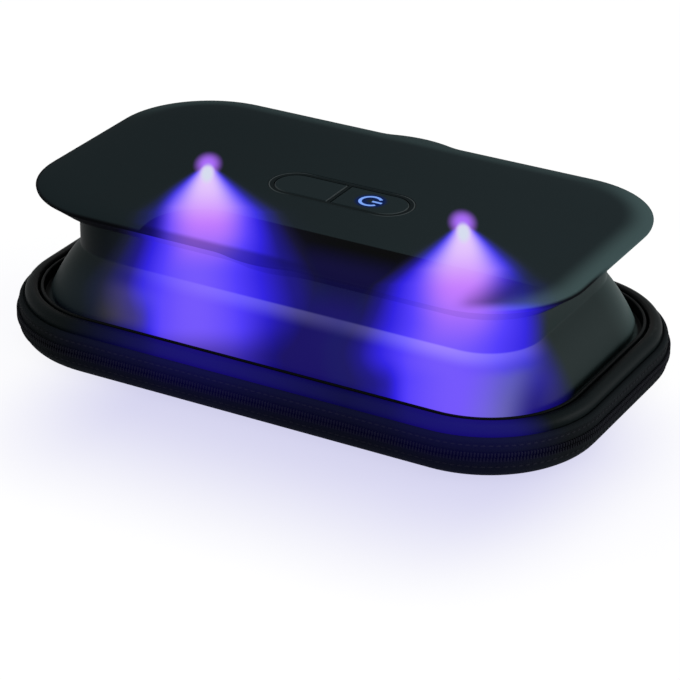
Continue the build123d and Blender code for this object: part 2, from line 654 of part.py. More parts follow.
def symbol_outline():
    """Power symbol: an open ring with a bar through its opening, pointing along +X."""
    middle = SYMBOL_RADIUS - SYMBOL_STROKE / 2
    half_opening = math.radians(SYMBOL_OPENING / 2)
    reach = 2 * SYMBOL_RADIUS
    wedge = make_face(
        Polyline(
            (0, 0),
            (reach, reach * math.tan(half_opening)),
            (reach, -reach * math.tan(half_opening)),
            close=True,
        )
    )
    arc = Circle(SYMBOL_RADIUS) - Circle(SYMBOL_RADIUS - SYMBOL_STROKE) - wedge
    bar = Pos(middle / 2 + SYMBOL_STROKE / 2, 0) * Rectangle(middle, SYMBOL_STROKE)
    return Pos(SYMBOL_X, 0) * (arc + bar)


def power_key():
    """Right half of the control, with a stem over the switch and a pocket for its symbol."""
    key = control_cap(1)
    key += post(SYMBOL_X, 0, SWITCH_TOP + KEY_TRAVEL + SEAT_GAP / 2, KEY_FLANGE_BOTTOM, KEY_STEM_RADIUS)
    pocket = extrude(offset(symbol_outline(), SEAT_GAP / 2), SYMBOL_DEPTH + SEAT_GAP / 2)
    return key - Pos(0, 0, CONTROL_TOP - SYMBOL_DEPTH - SEAT_GAP / 2) * pocket


def power_symbol():
    """Blue light guide let into the key."""
    return Pos(0, 0, CONTROL_TOP - SYMBOL_DEPTH) * extrude(symbol_outline(), SYMBOL_DEPTH)


# ---------------------------------------------------------------- electronics in the lid
def board_spots():
    """Corners of the main board."""
    x, y = MAIN_BOARD_LENGTH / 2 - BOARD_INSET, MAIN_BOARD_WIDTH / 2 - BOARD_INSET
    return [(sx * x, sy * y) for sx in (-1, 1) for sy in (-1, 1)]


def led_board_spots():
    """The two screws of each lamp board, outside its reflector."""
    x = LED_X + WINDOW_RADIUS + POST_RADIUS + SEAT_GAP - LED_BOARD_LENGTH / 8
    y = LED_BOARD_WIDTH / 2 - POST_RADIUS / 2
    return [(side * x, sy * y) for side in (-1, 1) for sy in (-1, 1)]


def main_board():
    """Control board on four posts."""
    board = block(0, 0, MAIN_BOARD_BOTTOM, MAIN_BOARD_TOP, MAIN_BOARD_LENGTH, MAIN_BOARD_WIDTH)
    board = fillet(board.edges().filter_by(Axis.Z), POST_RADIUS)
    return drill(board, board_spots(), MAIN_BOARD_BOTTOM, MAIN_BOARD_TOP)


def board_components():
    """Controller, two chokes and two drivers soldered on the main board."""
    low = MAIN_BOARD_TOP + SEAT_GAP / 10
    column, row = MAIN_BOARD_LENGTH * 0.32, MAIN_BOARD_WIDTH * 0.22
    chips = [block(-column, row, low, low + DRIVER_HEIGHT, CONTROLLER_SIZE, CONTROLLER_SIZE)]
    for x, y in ((-column, -row), (column, row)):
        chips.append(block(x, y, low, low + CHOKE_HEIGHT, CHOKE_SIZE, CHOKE_SIZE))
    for x, y in ((-column / 2, -row * 1.5), (column, -row)):
        chips.append(block(x, y, low, low + DRIVER_HEIGHT, DRIVER_LENGTH, DRIVER_WIDTH))
    return Compound(chips)


def tact_switch():
    """Switch under the key, on the main board."""
    body = SWITCH_HEIGHT * 0.8
    low = MAIN_BOARD_TOP + SEAT_GAP / 10
    base = block(SYMBOL_X, 0, low, low + body, SWITCH_SIZE, SWITCH_SIZE)
    return base + post(SYMBOL_X, 0, low + body, SWITCH_TOP, KEY_STEM_RADIUS)


def battery():
    """Flat lithium pouch between the pod floor and the main board."""
    low, high = POD_FLOOR + BATTERY_GAP, MAIN_BOARD_BOTTOM - BATTERY_GAP
    pouch = block(0, 0, low, high, BATTERY_LENGTH, BATTERY_WIDTH)
    return fillet(pouch.edges().filter_by(Axis.X), (high - low) * 0.35)


def reflector(x):
    """Conical cup that opens down on to the window."""
    top = REFLECTOR_BOTTOM + REFLECTOR_HEIGHT
    cup = post(x, 0, REFLECTOR_BOTTOM, top, WINDOW_RADIUS)
    middle = (REFLECTOR_BOTTOM + top) / 2
    return cup - Pos(x, 0, middle) * Cone(MOUTH_RADIUS, REFLECTOR_THROAT, REFLECTOR_HEIGHT)


def led_window(x):
    """Quartz disc over the lamp."""
    return post(x, 0, WINDOW_BOTTOM + SEAT_GAP / 2, WINDOW_BOTTOM + WINDOW_THICKNESS, WINDOW_RADIUS)


def led_board(x):
    """Small metal-core board that carries one lamp."""
    board = block(x, 0, LED_BOARD_BOTTOM, LED_BOARD_TOP, LED_BOARD_LENGTH, LED_BOARD_WIDTH)
    return drill(board, led_board_spots(), LED_BOARD_BOTTOM, LED_BOARD_TOP)


def uv_led(x):
    """Ultraviolet lamp package with a domed lens, facing down."""
    high = LED_BOARD_BOTTOM - SEAT_GAP / 10
    low = high - LED_HEIGHT
    package = block(x, 0, low, high, LED_SIZE, LED_SIZE)
    dome = Pos(x, 0, low + LED_SIZE * 0.15) * Sphere(LED_SIZE * 0.4)
    return package + (dome & block(x, 0, low - LED_SIZE, low + LED_HEIGHT / 2, LED_SIZE, LED_SIZE))


def led_flex(side):
    """Short flat strip that joins a lamp board to the main board."""
    board_end = MAIN_BOARD_LENGTH / 2
    lamp_end = LED_X - LED_BOARD_LENGTH / 2
    low = MAIN_BOARD_TOP + SEAT_GAP
    length = lamp_end - board_end + FLEX_WIDTH
    return block(side * (board_end + lamp_end) / 2, 0, low, low + FLEX_THICKNESS, length, FLEX_WIDTH)


def usb_board(floor, rear):
    """Daughter board under the charging socket."""
    y = rear - USB_HOUSING_WALL - SEAT_GAP - USB_BOARD_DEPTH / 2
    low = floor + SEAT_GAP / 2
    return block(0, y, low, low + BOARD_THICKNESS, USB_BOARD_WIDTH - RUN_GAP, USB_BOARD_DEPTH)


def usb_socket(floor, rear):
    """Charging socket: a rolled shell, its back wall and the contact tongue."""
    z = floor + BOARD_THICKNESS + SEAT_GAP + USB_HEIGHT / 2
    face = RectangleRounded(USB_WIDTH, USB_HEIGHT, USB_HEIGHT * 0.49)
    hole = RectangleRounded(
        USB_WIDTH - 2 * USB_SHELL, USB_HEIGHT - 2 * USB_SHELL, USB_HEIGHT * 0.49 - USB_SHELL
    )
    shell = extrude(Plane.XZ * (face - hole), USB_DEPTH)
    back = Pos(0, -USB_DEPTH + 1, 0) * extrude(Plane.XZ * face, 1)
    tongue = Pos(0, -USB_SHELL, 0) * extrude(Plane.XZ * Rectangle(USB_WIDTH * 0.72, 0.7), USB_DEPTH - 1)
    return Pos(0, rear - SEAT_GAP, z) * (shell + back + tongue)


def usb_flex(floor, rear):
    """Flat strip from the main board to the charging board."""
    start = MAIN_BOARD_WIDTH / 2 - BOARD_INSET
    end = rear - USB_HOUSING_WALL - USB_DEPTH - 2 * SEAT_GAP
    low = max(MAIN_BOARD_TOP, FLANGE_TOP, floor + BOARD_THICKNESS + SEAT_GAP / 2) + SEAT_GAP
    return block(0, (start + end) / 2, low, low + FLEX_THICKNESS, FLEX_WIDTH, end - start)


# ---------------------------------------------------------------- zip slider and pull
def on_left_side(shape):
    """Turns a piece built on the right-hand side over to the left."""
    return Rot(0, 0, 180) * shape


def zip_slider():
    """Slider plate outside the coil, with a flange under it and an arch for the pull."""
    inner = CORE_LENGTH / 2 + COIL_RADIUS + COIL_DEPTH + RUN_GAP
    outer = inner + SLIDER_PLATE
    nose, tail = SLIDER_WIDTH / 2, SLIDER_TAIL_WIDTH / 2
    half = SLIDER_LENGTH / 2
    outline = make_face(
        Polyline(
            (-half, -tail), (half * 0.4, -nose), (half, -nose), (half, nose), (half * 0.4, nose),
            (-half, tail), close=True,
        )
    )
    outline = fillet(outline.vertices(), SLIDER_PLATE)
    body = Pos(inner, 0, 0) * extrude(Plane.YZ * outline, SLIDER_PLATE)
    coil_side = ZIP_SPLIT / 2 + COIL_WIDTH + RUN_GAP
    flange_inner = CORE_LENGTH / 2 + SHELL_RADIUS + RUN_GAP
    flange = Box(inner - flange_inner + SLIDER_PLATE / 2, SLIDER_LENGTH * 0.7, tail - coil_side)
    body += Pos((flange_inner + inner + SLIDER_PLATE / 2) / 2, 0, -(tail + coil_side) / 2) * flange
    window = 2 * (PULL_GAP + PULL_PIN_RADIUS)
    arch = make_face(
        Polyline(
            (0, -ARCH_LENGTH / 2), (window + ARCH_BAR, -ARCH_LENGTH / 2 + ARCH_BAR),
            (window + ARCH_BAR, ARCH_LENGTH / 2 - ARCH_BAR), (0, ARCH_LENGTH / 2), close=True,
        )
    )
    arch -= Pos(window / 2, 0) * Rectangle(window, ARCH_LENGTH - 4 * ARCH_BAR)
    body += Pos(outer, 0, 0) * extrude(arch, ARCH_WIDTH / 2, both=True)
    return on_left_side(Pos(0, -SLIDER_Y, ZIP_HEIGHT) * body)


def zip_pull():
    """Flat pull with a window round the arch and a pin through it."""
    half_thickness = PULL_THICKNESS / 2
    blank = Pos(0, PULL_LENGTH / 2) * Rectangle(PULL_WIDTH, PULL_LENGTH + PULL_THICKNESS)
    blank = fillet(blank.vertices().group_by(Axis.Y)[-1], PULL_WIDTH * 0.4)
    body = extrude(Plane.ZY * blank, half_thickness, both=True)
    body = fillet(body.edges().filter_by(Axis.Z).group_by(Axis.Y)[0], half_thickness * 0.98)
    window = 2 * (PULL_GAP + ARCH_WIDTH / 2)
    opening = PULL_WINDOW + 2 * PULL_THICKNESS
    body -= Pos(0, PULL_WINDOW - opening / 2, 0) * Box(PULL_THICKNESS, opening, window)
    body += Cylinder(PULL_PIN_RADIUS, window + PULL_THICKNESS)
    body -= Pos(0, PULL_LENGTH - PULL_WIDTH / 2, 0) * Rot(0, 90, 0) * Cylinder(PULL_PIN_RADIUS * 2, PULL_WIDTH)
    place = Pos(CORE_LENGTH / 2 + PULL_AXIS_RADIUS, -SLIDER_Y, ZIP_HEIGHT)
    return on_left_side(place * body)


# ---------------------------------------------------------------- assembly
parts["lower_shell"] = lower_shell()
parts["tray_liner"] = tray_liner()
parts["lower_zip_tape"] = zip_tape(TAPE_BOTTOM, LOWER_EDGE)
parts["lower_zip_coil"] = zip_coil(LOWER_EDGE - COIL_WIDTH, LOWER_EDGE)
parts["lower_zip_stops"] = zip_stops(LOWER_EDGE - COIL_WIDTH, LOWER_EDGE)
parts["lower_hinge_leaf"] = hinge_leaf(TAPE_BOTTOM, LOWER_EDGE, TAPE_BOTTOM - LEAF_LAP, LOWER_EDGE)

parts["upper_shell"] = upper_shell()
parts["upper_zip_tape"] = zip_tape(UPPER_EDGE, TAPE_TOP)
parts["upper_zip_coil"] = zip_coil(UPPER_EDGE, UPPER_EDGE + COIL_WIDTH)
parts["upper_zip_stops"] = zip_stops(UPPER_EDGE, UPPER_EDGE + COIL_WIDTH)
parts["upper_hinge_leaf"] = hinge_leaf(UPPER_EDGE, TAPE_TOP, UPPER_EDGE, TAPE_TOP + LEAF_LAP / 2)
parts["rim_bezel"] = rim_bezel()
parts["sleeve_clamp"] = sleeve_clamp()
parts["rim_screws"] = screws_from_below(
    side_spots(RIM_SCREW_RADIUS), CLAMP_TOP - CLAMP_THICKNESS - SEAT_GAP / 2, RIM_BOTTOM + RIM_SIDE_HEIGHT
)
parts["pop_sleeve"] = pop_sleeve()

parts["lid_cover"] = lid_cover()
parts["lid_base"], usb_floor, usb_rear = lid_base()
parts["neck_ring"], neck_ring_bottom = neck_ring()
parts["neck_screws"] = screws_from_below(
    side_spots(NECK_SCREW_RADIUS), neck_ring_bottom - SEAT_GAP / 2, FLANGE_TOP
)
parts["lid_screws"] = screws_from_below(
    side_spots(LID_SCREW_RADIUS), LID_BOTTOM - SEAT_GAP / 2, FLANGE_TOP + POST_RADIUS
)
parts["control_bezel"] = control_bezel()
parts["blank_plate"] = control_cap(-1)
parts["power_key"] = power_key()
parts["power_symbol"] = power_symbol()

parts["main_board"] = main_board()
parts["board_components"] = board_components()
parts["tact_switch"] = tact_switch()
parts["battery"] = battery()
parts["board_screws"] = Compound(
    [
        screws_from_above(board_spots(), MAIN_BOARD_TOP + SEAT_GAP / 10, POD_FLOOR + SEAT_GAP),
        screws_from_above(led_board_spots(), LED_BOARD_TOP + SEAT_GAP / 10, POD_FLOOR + SEAT_GAP),
    ]
)
for side, name in ((-1, "left"), (1, "right")):
    parts[f"led_window_{name}"] = led_window(side * LED_X)
    parts[f"reflector_{name}"] = reflector(side * LED_X)
    parts[f"uv_led_{name}"] = uv_led(side * LED_X)
    parts[f"led_board_{name}"] = led_board(side * LED_X)
    parts[f"led_flex_{name}"] = led_flex(side)
parts["usb_board"] = usb_board(usb_floor, usb_rear)
parts["usb_socket"] = usb_socket(usb_floor, usb_rear)
parts["usb_flex"] = usb_flex(usb_floor, usb_rear)

parts["zip_slider"] = zip_slider()
parts["zip_pull"] = zip_pull()

for node, shape in parts.items():
    export_step(shape, f"parts/{node}.step")
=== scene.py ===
"""Looks of the pop-up ultraviolet case, laid out as an add-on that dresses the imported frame."""

import math
from collections import namedtuple
from functools import partialmethod

import bmesh
import bpy
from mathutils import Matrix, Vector


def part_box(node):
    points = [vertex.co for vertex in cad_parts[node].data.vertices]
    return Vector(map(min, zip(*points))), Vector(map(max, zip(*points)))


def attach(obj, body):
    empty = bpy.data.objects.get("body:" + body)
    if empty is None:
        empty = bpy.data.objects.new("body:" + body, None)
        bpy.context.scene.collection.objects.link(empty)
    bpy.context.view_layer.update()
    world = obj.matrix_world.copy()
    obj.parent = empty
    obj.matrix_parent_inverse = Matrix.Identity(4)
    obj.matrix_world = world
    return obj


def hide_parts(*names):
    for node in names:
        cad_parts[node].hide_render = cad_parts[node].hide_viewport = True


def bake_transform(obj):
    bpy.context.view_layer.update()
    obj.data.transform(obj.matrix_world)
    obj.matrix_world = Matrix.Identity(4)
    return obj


bl_info = {
    "name": "Pop-up Sanitizer Case",
    "version": (1, 0, 0),
    "blender": (4, 5, 0),
    "location": "View3D > Sidebar > Sanitizer",
    "description": "Dresses a pop-up ultraviolet phone case: lid, sleeve, zip, stitching and light",
    "category": "Object",
}

MM = 0.001
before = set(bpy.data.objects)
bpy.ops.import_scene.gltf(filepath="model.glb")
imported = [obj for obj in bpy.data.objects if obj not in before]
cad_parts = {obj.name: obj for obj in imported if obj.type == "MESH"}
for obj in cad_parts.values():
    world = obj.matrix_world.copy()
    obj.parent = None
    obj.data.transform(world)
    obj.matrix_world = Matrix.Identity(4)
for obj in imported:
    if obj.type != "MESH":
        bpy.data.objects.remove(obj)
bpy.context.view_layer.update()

# ---------------- sizes read from the frame
SLEEVE_LOW, SLEEVE_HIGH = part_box("pop_sleeve")
LID_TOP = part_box("lid_cover")[1].z
COIL_LOW, COIL_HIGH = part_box("lower_zip_coil")
LOWER_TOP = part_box("lower_shell")[1].z
UPPER_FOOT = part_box("upper_shell")[0].z
LEAF_LOW, LEAF_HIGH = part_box("lower_hinge_leaf")
LEAF_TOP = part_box("upper_hinge_leaf")[1].z
SYMBOL_LOW, SYMBOL_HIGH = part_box("power_symbol")
DIVIDER = (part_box("blank_plate")[1].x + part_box("power_key")[0].x) / 2
ZIP_HEIGHT = (COIL_HIGH.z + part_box("upper_zip_coil")[0].z) / 2

# Every outline runs at one distance, its radius, from a core rectangle.
CORE = Vector((72 * MM, 25 * MM))
# Steps round a corner, along half a side and along a straight back, and along the flat part, each hollow and
# the crest of a back with a thumb bump.
CORNER_STEPS, SIDE_STEPS, BACK_STEPS, BUMP_STEPS = 22, 4, 24, (9, 8, 14)
NECK_RADIUS = 21.3 * MM
CREASE_HEIGHT = 37.7 * MM
LIP_RADIUS, LIP_WIDTH, LIP_HEIGHT = 36.0 * MM, 1.3 * MM, 4.4 * MM
SKIRT_FOOT_RADIUS = 32.6 * MM
SKIRT_FOOT_RISE = 3.0 * MM
SKIRT_BULGE = 1.1 * MM
# A bulge's handles reach this much further out, at these shares of the skirt's two halves.
BULGE_REACH, SKIRT_HANDLES = 1.33, (0.66, 0.34)
SKIRT_STEPS, NECK_STEPS = 16, 6
TUCK_INSET, TUCK_DROP = 0.2 * MM, 1.2 * MM
FLANGE_ROUNDING, VALLEY_ROUNDING, LIP_ROUNDING = 0.2 * MM, 0.5 * MM, 0.6 * MM
COLLAR_ROUNDING, FOLD_ROUNDING = 0.3 * MM, 1.1 * MM
SLEEVE_WALL = 1.4 * MM
COLLAR_RADIUS = 15.7 * MM
LID_RADIUS = 36.9 * MM
LID_WALL = 1.5 * MM
LID_EDGE_DROP, LID_EDGE_HEIGHT = 1.5 * MM, 0.9 * MM
LID_LIP_WIDTH, LID_LIP_SLOPE, LID_LIP_ROUNDING = 1.2 * MM, 0.2 * MM, 0.3 * MM
# The underside meets the lip at a share of the lid's radius. The crown begins at its own radius, and its
# curve's handles lie at shares of the lid's.
LID_FLANGE = 0.66
LID_FLAT = 4.0 * MM
CROWN_HANDLES, CROWN_DIP, CROWN_STEPS = (0.6, 0.88), 0.1 * MM, 26
THUMB_BUMP, THUMB_BLEND = 2.6 * MM, 22.0 * MM
SHELL_RADIUS, SHELL_SEAM = 44.8 * MM, 1.0 * MM
ZIP_GAP = 62.4 * MM
TOOTH_CLEARANCE, TOOTH_BEVEL = 0.05 * MM, 0.2 * MM
# The share of its pitch that a tooth takes, and the share of that at its narrow end.
TOOTH_SHARE, TOOTH_NARROW = 0.72, 0.72
STRIP_ROWS, STRIP_COLUMNS = 14, 40
STRIP_INSET, STRIP_HEM, STRIP_THINNING = 2.0 * MM, 0.25 * MM, 0.6 * MM
BOW_HEIGHT, BEND_HALF = 1.6 * MM, 1.5 * MM
FLOOR_GAP, FLOOR_REACH = 0.05 * MM, 6.0
LIGHT_TARGET = Vector((0, 0, 0.03))
CAMERA_LENS, CAMERA_WIDTH, CAMERA_START = 151.85, 36.0, 0.05
CAMERA_PLACE = (0.461744, -0.835083, 0.47918)
CAMERA_TURN = (63.50526, -0.5418, 29.20711)
CONTROL = Vector((58.6 * MM, 21.2 * MM))
CAP_RADIUS = CONTROL.y / 2 - 2.5 * MM
DIVIDER_HALF = 0.9 * MM
# The symbol's place along the pill and the radius of the middle of its ring.
SYMBOL_PLACE = (SYMBOL_LOW.x + SYMBOL_HIGH.x) / 2
SYMBOL_RADIUS = (SYMBOL_HIGH.y - SYMBOL_LOW.y) / 2 * 0.8
# Vertices closer than this are one, and smooth faces meet below these angles.
TOUCHING = 1e-6
SMOOTH_LID, SMOOTH_SLEEVE, SMOOTH_SMALL, SMOOTH_STRIP, SMOOTH_ROUND = 30, 38, 40, 50, 80
# How far the handles of a rounded corner reach towards its point.
CORNER_PULL = 0.45

# The lamps' light is laid out on two lines square to the direction it is seen from in front.
ACROSS = Vector((0.8728, 0.4879, 0.0095))
UPWARD = Vector((-0.2251, 0.3853, 0.8949))
# A lamp's place on those two lines, how far down its core and fan reach, how far the fan drifts, from where
# to where its brightest part leans to the left, and how much wider than usual the fan is.
Lamp = namedtuple("Lamp", "across up tail reach drift lean_start lean_end wide")
LEFT_LAMP = Lamp(-0.0488, 0.0683, 0.042, 0.06, 0.0018, 0.028, 0.1, 1.0)
RIGHT_LAMP = Lamp(0.0436, 0.0448, 0.048, 0.078, -0.0029, 0.034, 0.048, 1.12)
# Half widths of a lamp's fan and core: growth with depth and start, close to the lamp and further down.
FAN_NEAR, FAN_FAR, CORE_NEAR, CORE_FAR = (0.86, 0.001), (0.2, 0.0138), (0.55, 0.0011), 0.0107
LEAN = 0.0049
# The exponent that halves a fan's light at its half width.
FAN_FALL = -0.69
FAN_COLOURS = (
    (0.0, (0.0, 0.0, 0.0)),
    (0.05, (0.0008, 0.0006, 0.004)),
    (0.12, (0.005, 0.004, 0.032)),
    (0.3, (0.011, 0.007, 0.23)),
    (0.52, (0.03, 0.015, 0.76)),
    (0.75, (0.082, 0.044, 0.97)),
    (1.0, (0.175, 0.095, 0.97)),
)
HALO_COLOUR, HEART_COLOUR = (0.386, 0.133, 0.92, 1), (0.66, 0.7, 0.84, 1)
# Along x, where the lit part of the neck begins.
NECK_LIGHT = (-0.052, -0.028)


# ---------------- settings
class CaseSizes(bpy.types.PropertyGroup):
    tooth_pitch: bpy.props.FloatProperty(
        name="Tooth pitch", description="From one zip tooth to the next", default=1.15 * MM, unit="LENGTH"
    )
    stitch_pitch: bpy.props.FloatProperty(
        name="Stitch pitch", description="From one stitch to the next", default=2.6 * MM, unit="LENGTH"
    )
    stitch_length: bpy.props.FloatProperty(
        name="Stitch length", description="Thread that shows in one stitch", default=1.9 * MM, unit="LENGTH"
    )
    thread: bpy.props.FloatProperty(
        name="Thread", description="Thickness of the sewing thread", default=0.34 * MM, unit="LENGTH"
    )
    hinge_slack: bpy.props.FloatProperty(
        name="Hinge slack", description="How far the hinge fabric bows out", default=0.5 * MM, unit="LENGTH"
    )


class CaseColours(bpy.types.PropertyGroup):
    rim: bpy.props.FloatVectorProperty(
        name="Rim", description="Satin rim", subtype="COLOR", default=(0.0028, 0.0046, 0.005)
    )
    lid: bpy.props.FloatVectorProperty(
        name="Lid", description="Soft-touch lid", subtype="COLOR", default=(0.0104, 0.0166, 0.0184)
    )
    sleeve: bpy.props.FloatVectorProperty(
        name="Sleeve", description="Silicone sleeve", subtype="COLOR", default=(0.009, 0.015, 0.015)
    )
    shell: bpy.props.FloatVectorProperty(
        name="Shell", description="Fabric-faced shells", subtype="COLOR", default=(0.0034, 0.0048, 0.0056)
    )
    core_near: bpy.props.FloatVectorProperty(
        name="Near core", description="Light's core by the lamp", subtype="COLOR", default=(0.77, 0.56, 0.96)
    )
    core_far: bpy.props.FloatVectorProperty(
        name="Far core", description="Light's core lower down", subtype="COLOR", default=(0.58, 0.21, 0.99)
    )
    symbol: bpy.props.FloatVectorProperty(
        name="Symbol", description="Lit power symbol", subtype="COLOR", default=(0.165, 0.32, 0.8)
    )


def sizes():
    return bpy.context.scene.case_sizes


def colours():
    return bpy.context.scene.case_colours


# ---------------- outlines and swept skins
def around(angle):
    """Unit vector at an angle in degrees."""
    turn = math.radians(angle)
    return Vector((math.cos(turn), math.sin(turn)))


def stations(bump=0.0):
    """Origin and outward direction at each step round an outline; a point is origin + radius x direction."""
    found = []

    def straight(start, end, outward, count):
        found.extend((start.lerp(end, k / count), outward) for k in range(count))

    def turn(centre, offset, outward, start, end, count):
        for k in range(count):
            n = around(start + (end - start) * k / count)
            found.append((centre + n * offset, n * outward))

    back = Vector((0, 1))
    middle = Vector((CORE.x, 0))
    left, left_middle = Vector((-CORE.x, CORE.y)), Vector((-CORE.x, 0))
    straight(middle, CORE, Vector((1, 0)), SIDE_STEPS)
    turn(CORE, 0, 1, 0, 90, CORNER_STEPS)
    if bump:
        hollow = THUMB_BLEND + LID_RADIUS
        reach = math.sqrt((hollow + bump) ** 2 - hollow**2)
        lean = math.degrees(math.asin(reach / (hollow + bump)))
        flat_steps, hollow_steps, crest_steps = BUMP_STEPS
        rise = Vector((0, hollow))
        here, there = Vector((reach, CORE.y)), Vector((-reach, CORE.y))
        straight(CORE, here, back, flat_steps)
        turn(here + rise, hollow, -1, 270, 270 - lean, hollow_steps)
        turn(Vector((0, CORE.y)), bump, 1, 90 - lean, 90 + lean, crest_steps)
        turn(there + rise, hollow, -1, 270 + lean, 270, hollow_steps)
        straight(there, left, back, flat_steps)
    else:
        straight(CORE, left, back, BACK_STEPS)
    turn(left, 0, 1, 90, 180, CORNER_STEPS)
    straight(left, left_middle, Vector((-1, 0)), SIDE_STEPS)
    return found + [(-origin, -outward) for origin, outward in found]


def bezier(points, count):
    """Points along a cubic curve."""
    a, b, c, d = (Vector(p) for p in points)
    found = []
    for k in range(count + 1):
        t = k / count
        found.append(a * (1 - t) ** 3 + b * 3 * t * (1 - t) ** 2 + c * 3 * t * t * (1 - t) + d * t**3)
    return [(p.x, p.y) for p in found]


def rounded(points, steps=5):
    """An open profile with its corners rounded; each point is (radius, height, rounding)."""
    found = []
    for k, (*spot, rounding) in enumerate(points):
        if not rounding:
            found.append(tuple(spot))
            continue
        here = Vector(spot)
        before, after = ((Vector(points[j][:2]) - here).normalized() for j in (k - 1, k + 1))
        reach = rounding / math.tan(before.angle(after) / 2)
        start, end = before * reach, after * reach
        handles = here + start * CORNER_PULL, here + end * CORNER_PULL
        found += bezier((here + start, *handles, here + end), steps)
    return found


def make_object(name, mesh, material):
    """An object at the origin that carries the mesh."""
    piece = bpy.data.objects.new(name, mesh)
    bpy.context.scene.collection.objects.link(piece)
    if material:
        mesh.materials.append(material)
    return piece


def smoothed(name, work, material, sharp):
    """Turns a bmesh into an object with one material and smooth shading, up to a sharp angle."""
    mesh = bpy.data.meshes.new(name)
    work.to_mesh(mesh)
    work.free()
    mesh.materials.clear()
    for face in mesh.polygons:
        face.use_smooth = True
    mesh.set_sharp_from_angle(angle=math.radians(sharp))
    return make_object(name, mesh, material)


def finished(name, work, material, sharp):
    """Merges a bmesh, turns its faces outwards and makes it an object."""
    bmesh.ops.remove_doubles(work, verts=work.verts, dist=TOUCHING)
    bmesh.ops.recalc_face_normals(work, faces=work.faces)
    return smoothed(name, work, material, sharp)


def swept(profile, bump=0.0, closed=True):
    """A bmesh of the profile carried round the outline, with its rings of vertices."""
    work = bmesh.new()
    rings = []
    for origin, outward in stations(bump):
        ring = []
        for radius, height in profile:
            spot = origin + outward * radius
            ring.append(work.verts.new((spot.x, spot.y, height)))
        rings.append(ring)
    count = len(profile)
    for k, ring in enumerate(rings):
        after = rings[(k + 1) % len(rings)]
        for j in range(count if closed else count - 1):
            m = (j + 1) % count
            work.faces.new((ring[j], after[j], after[m], ring[m]))
    return work, rings


def slot_loop(work, length, width, height, steps=14):
    """Vertices of a round-ended slot, anticlockwise."""
    found = []
    for reach, start in (((length - width) / 2, -90), ((width - length) / 2, 90)):
        for k in range(steps + 1):
            n = around(start + 180 * k / steps) * width / 2
            found.append(work.verts.new((reach + n.x, n.y, height)))
    return found


def loop_edges(work, loop):
    """The edges of a closed loop of vertices, with the missing ones added."""
    pairs = zip(loop, loop[1:] + loop[:1])
    return [work.edges.get(pair) or work.edges.new(pair) for pair in pairs]


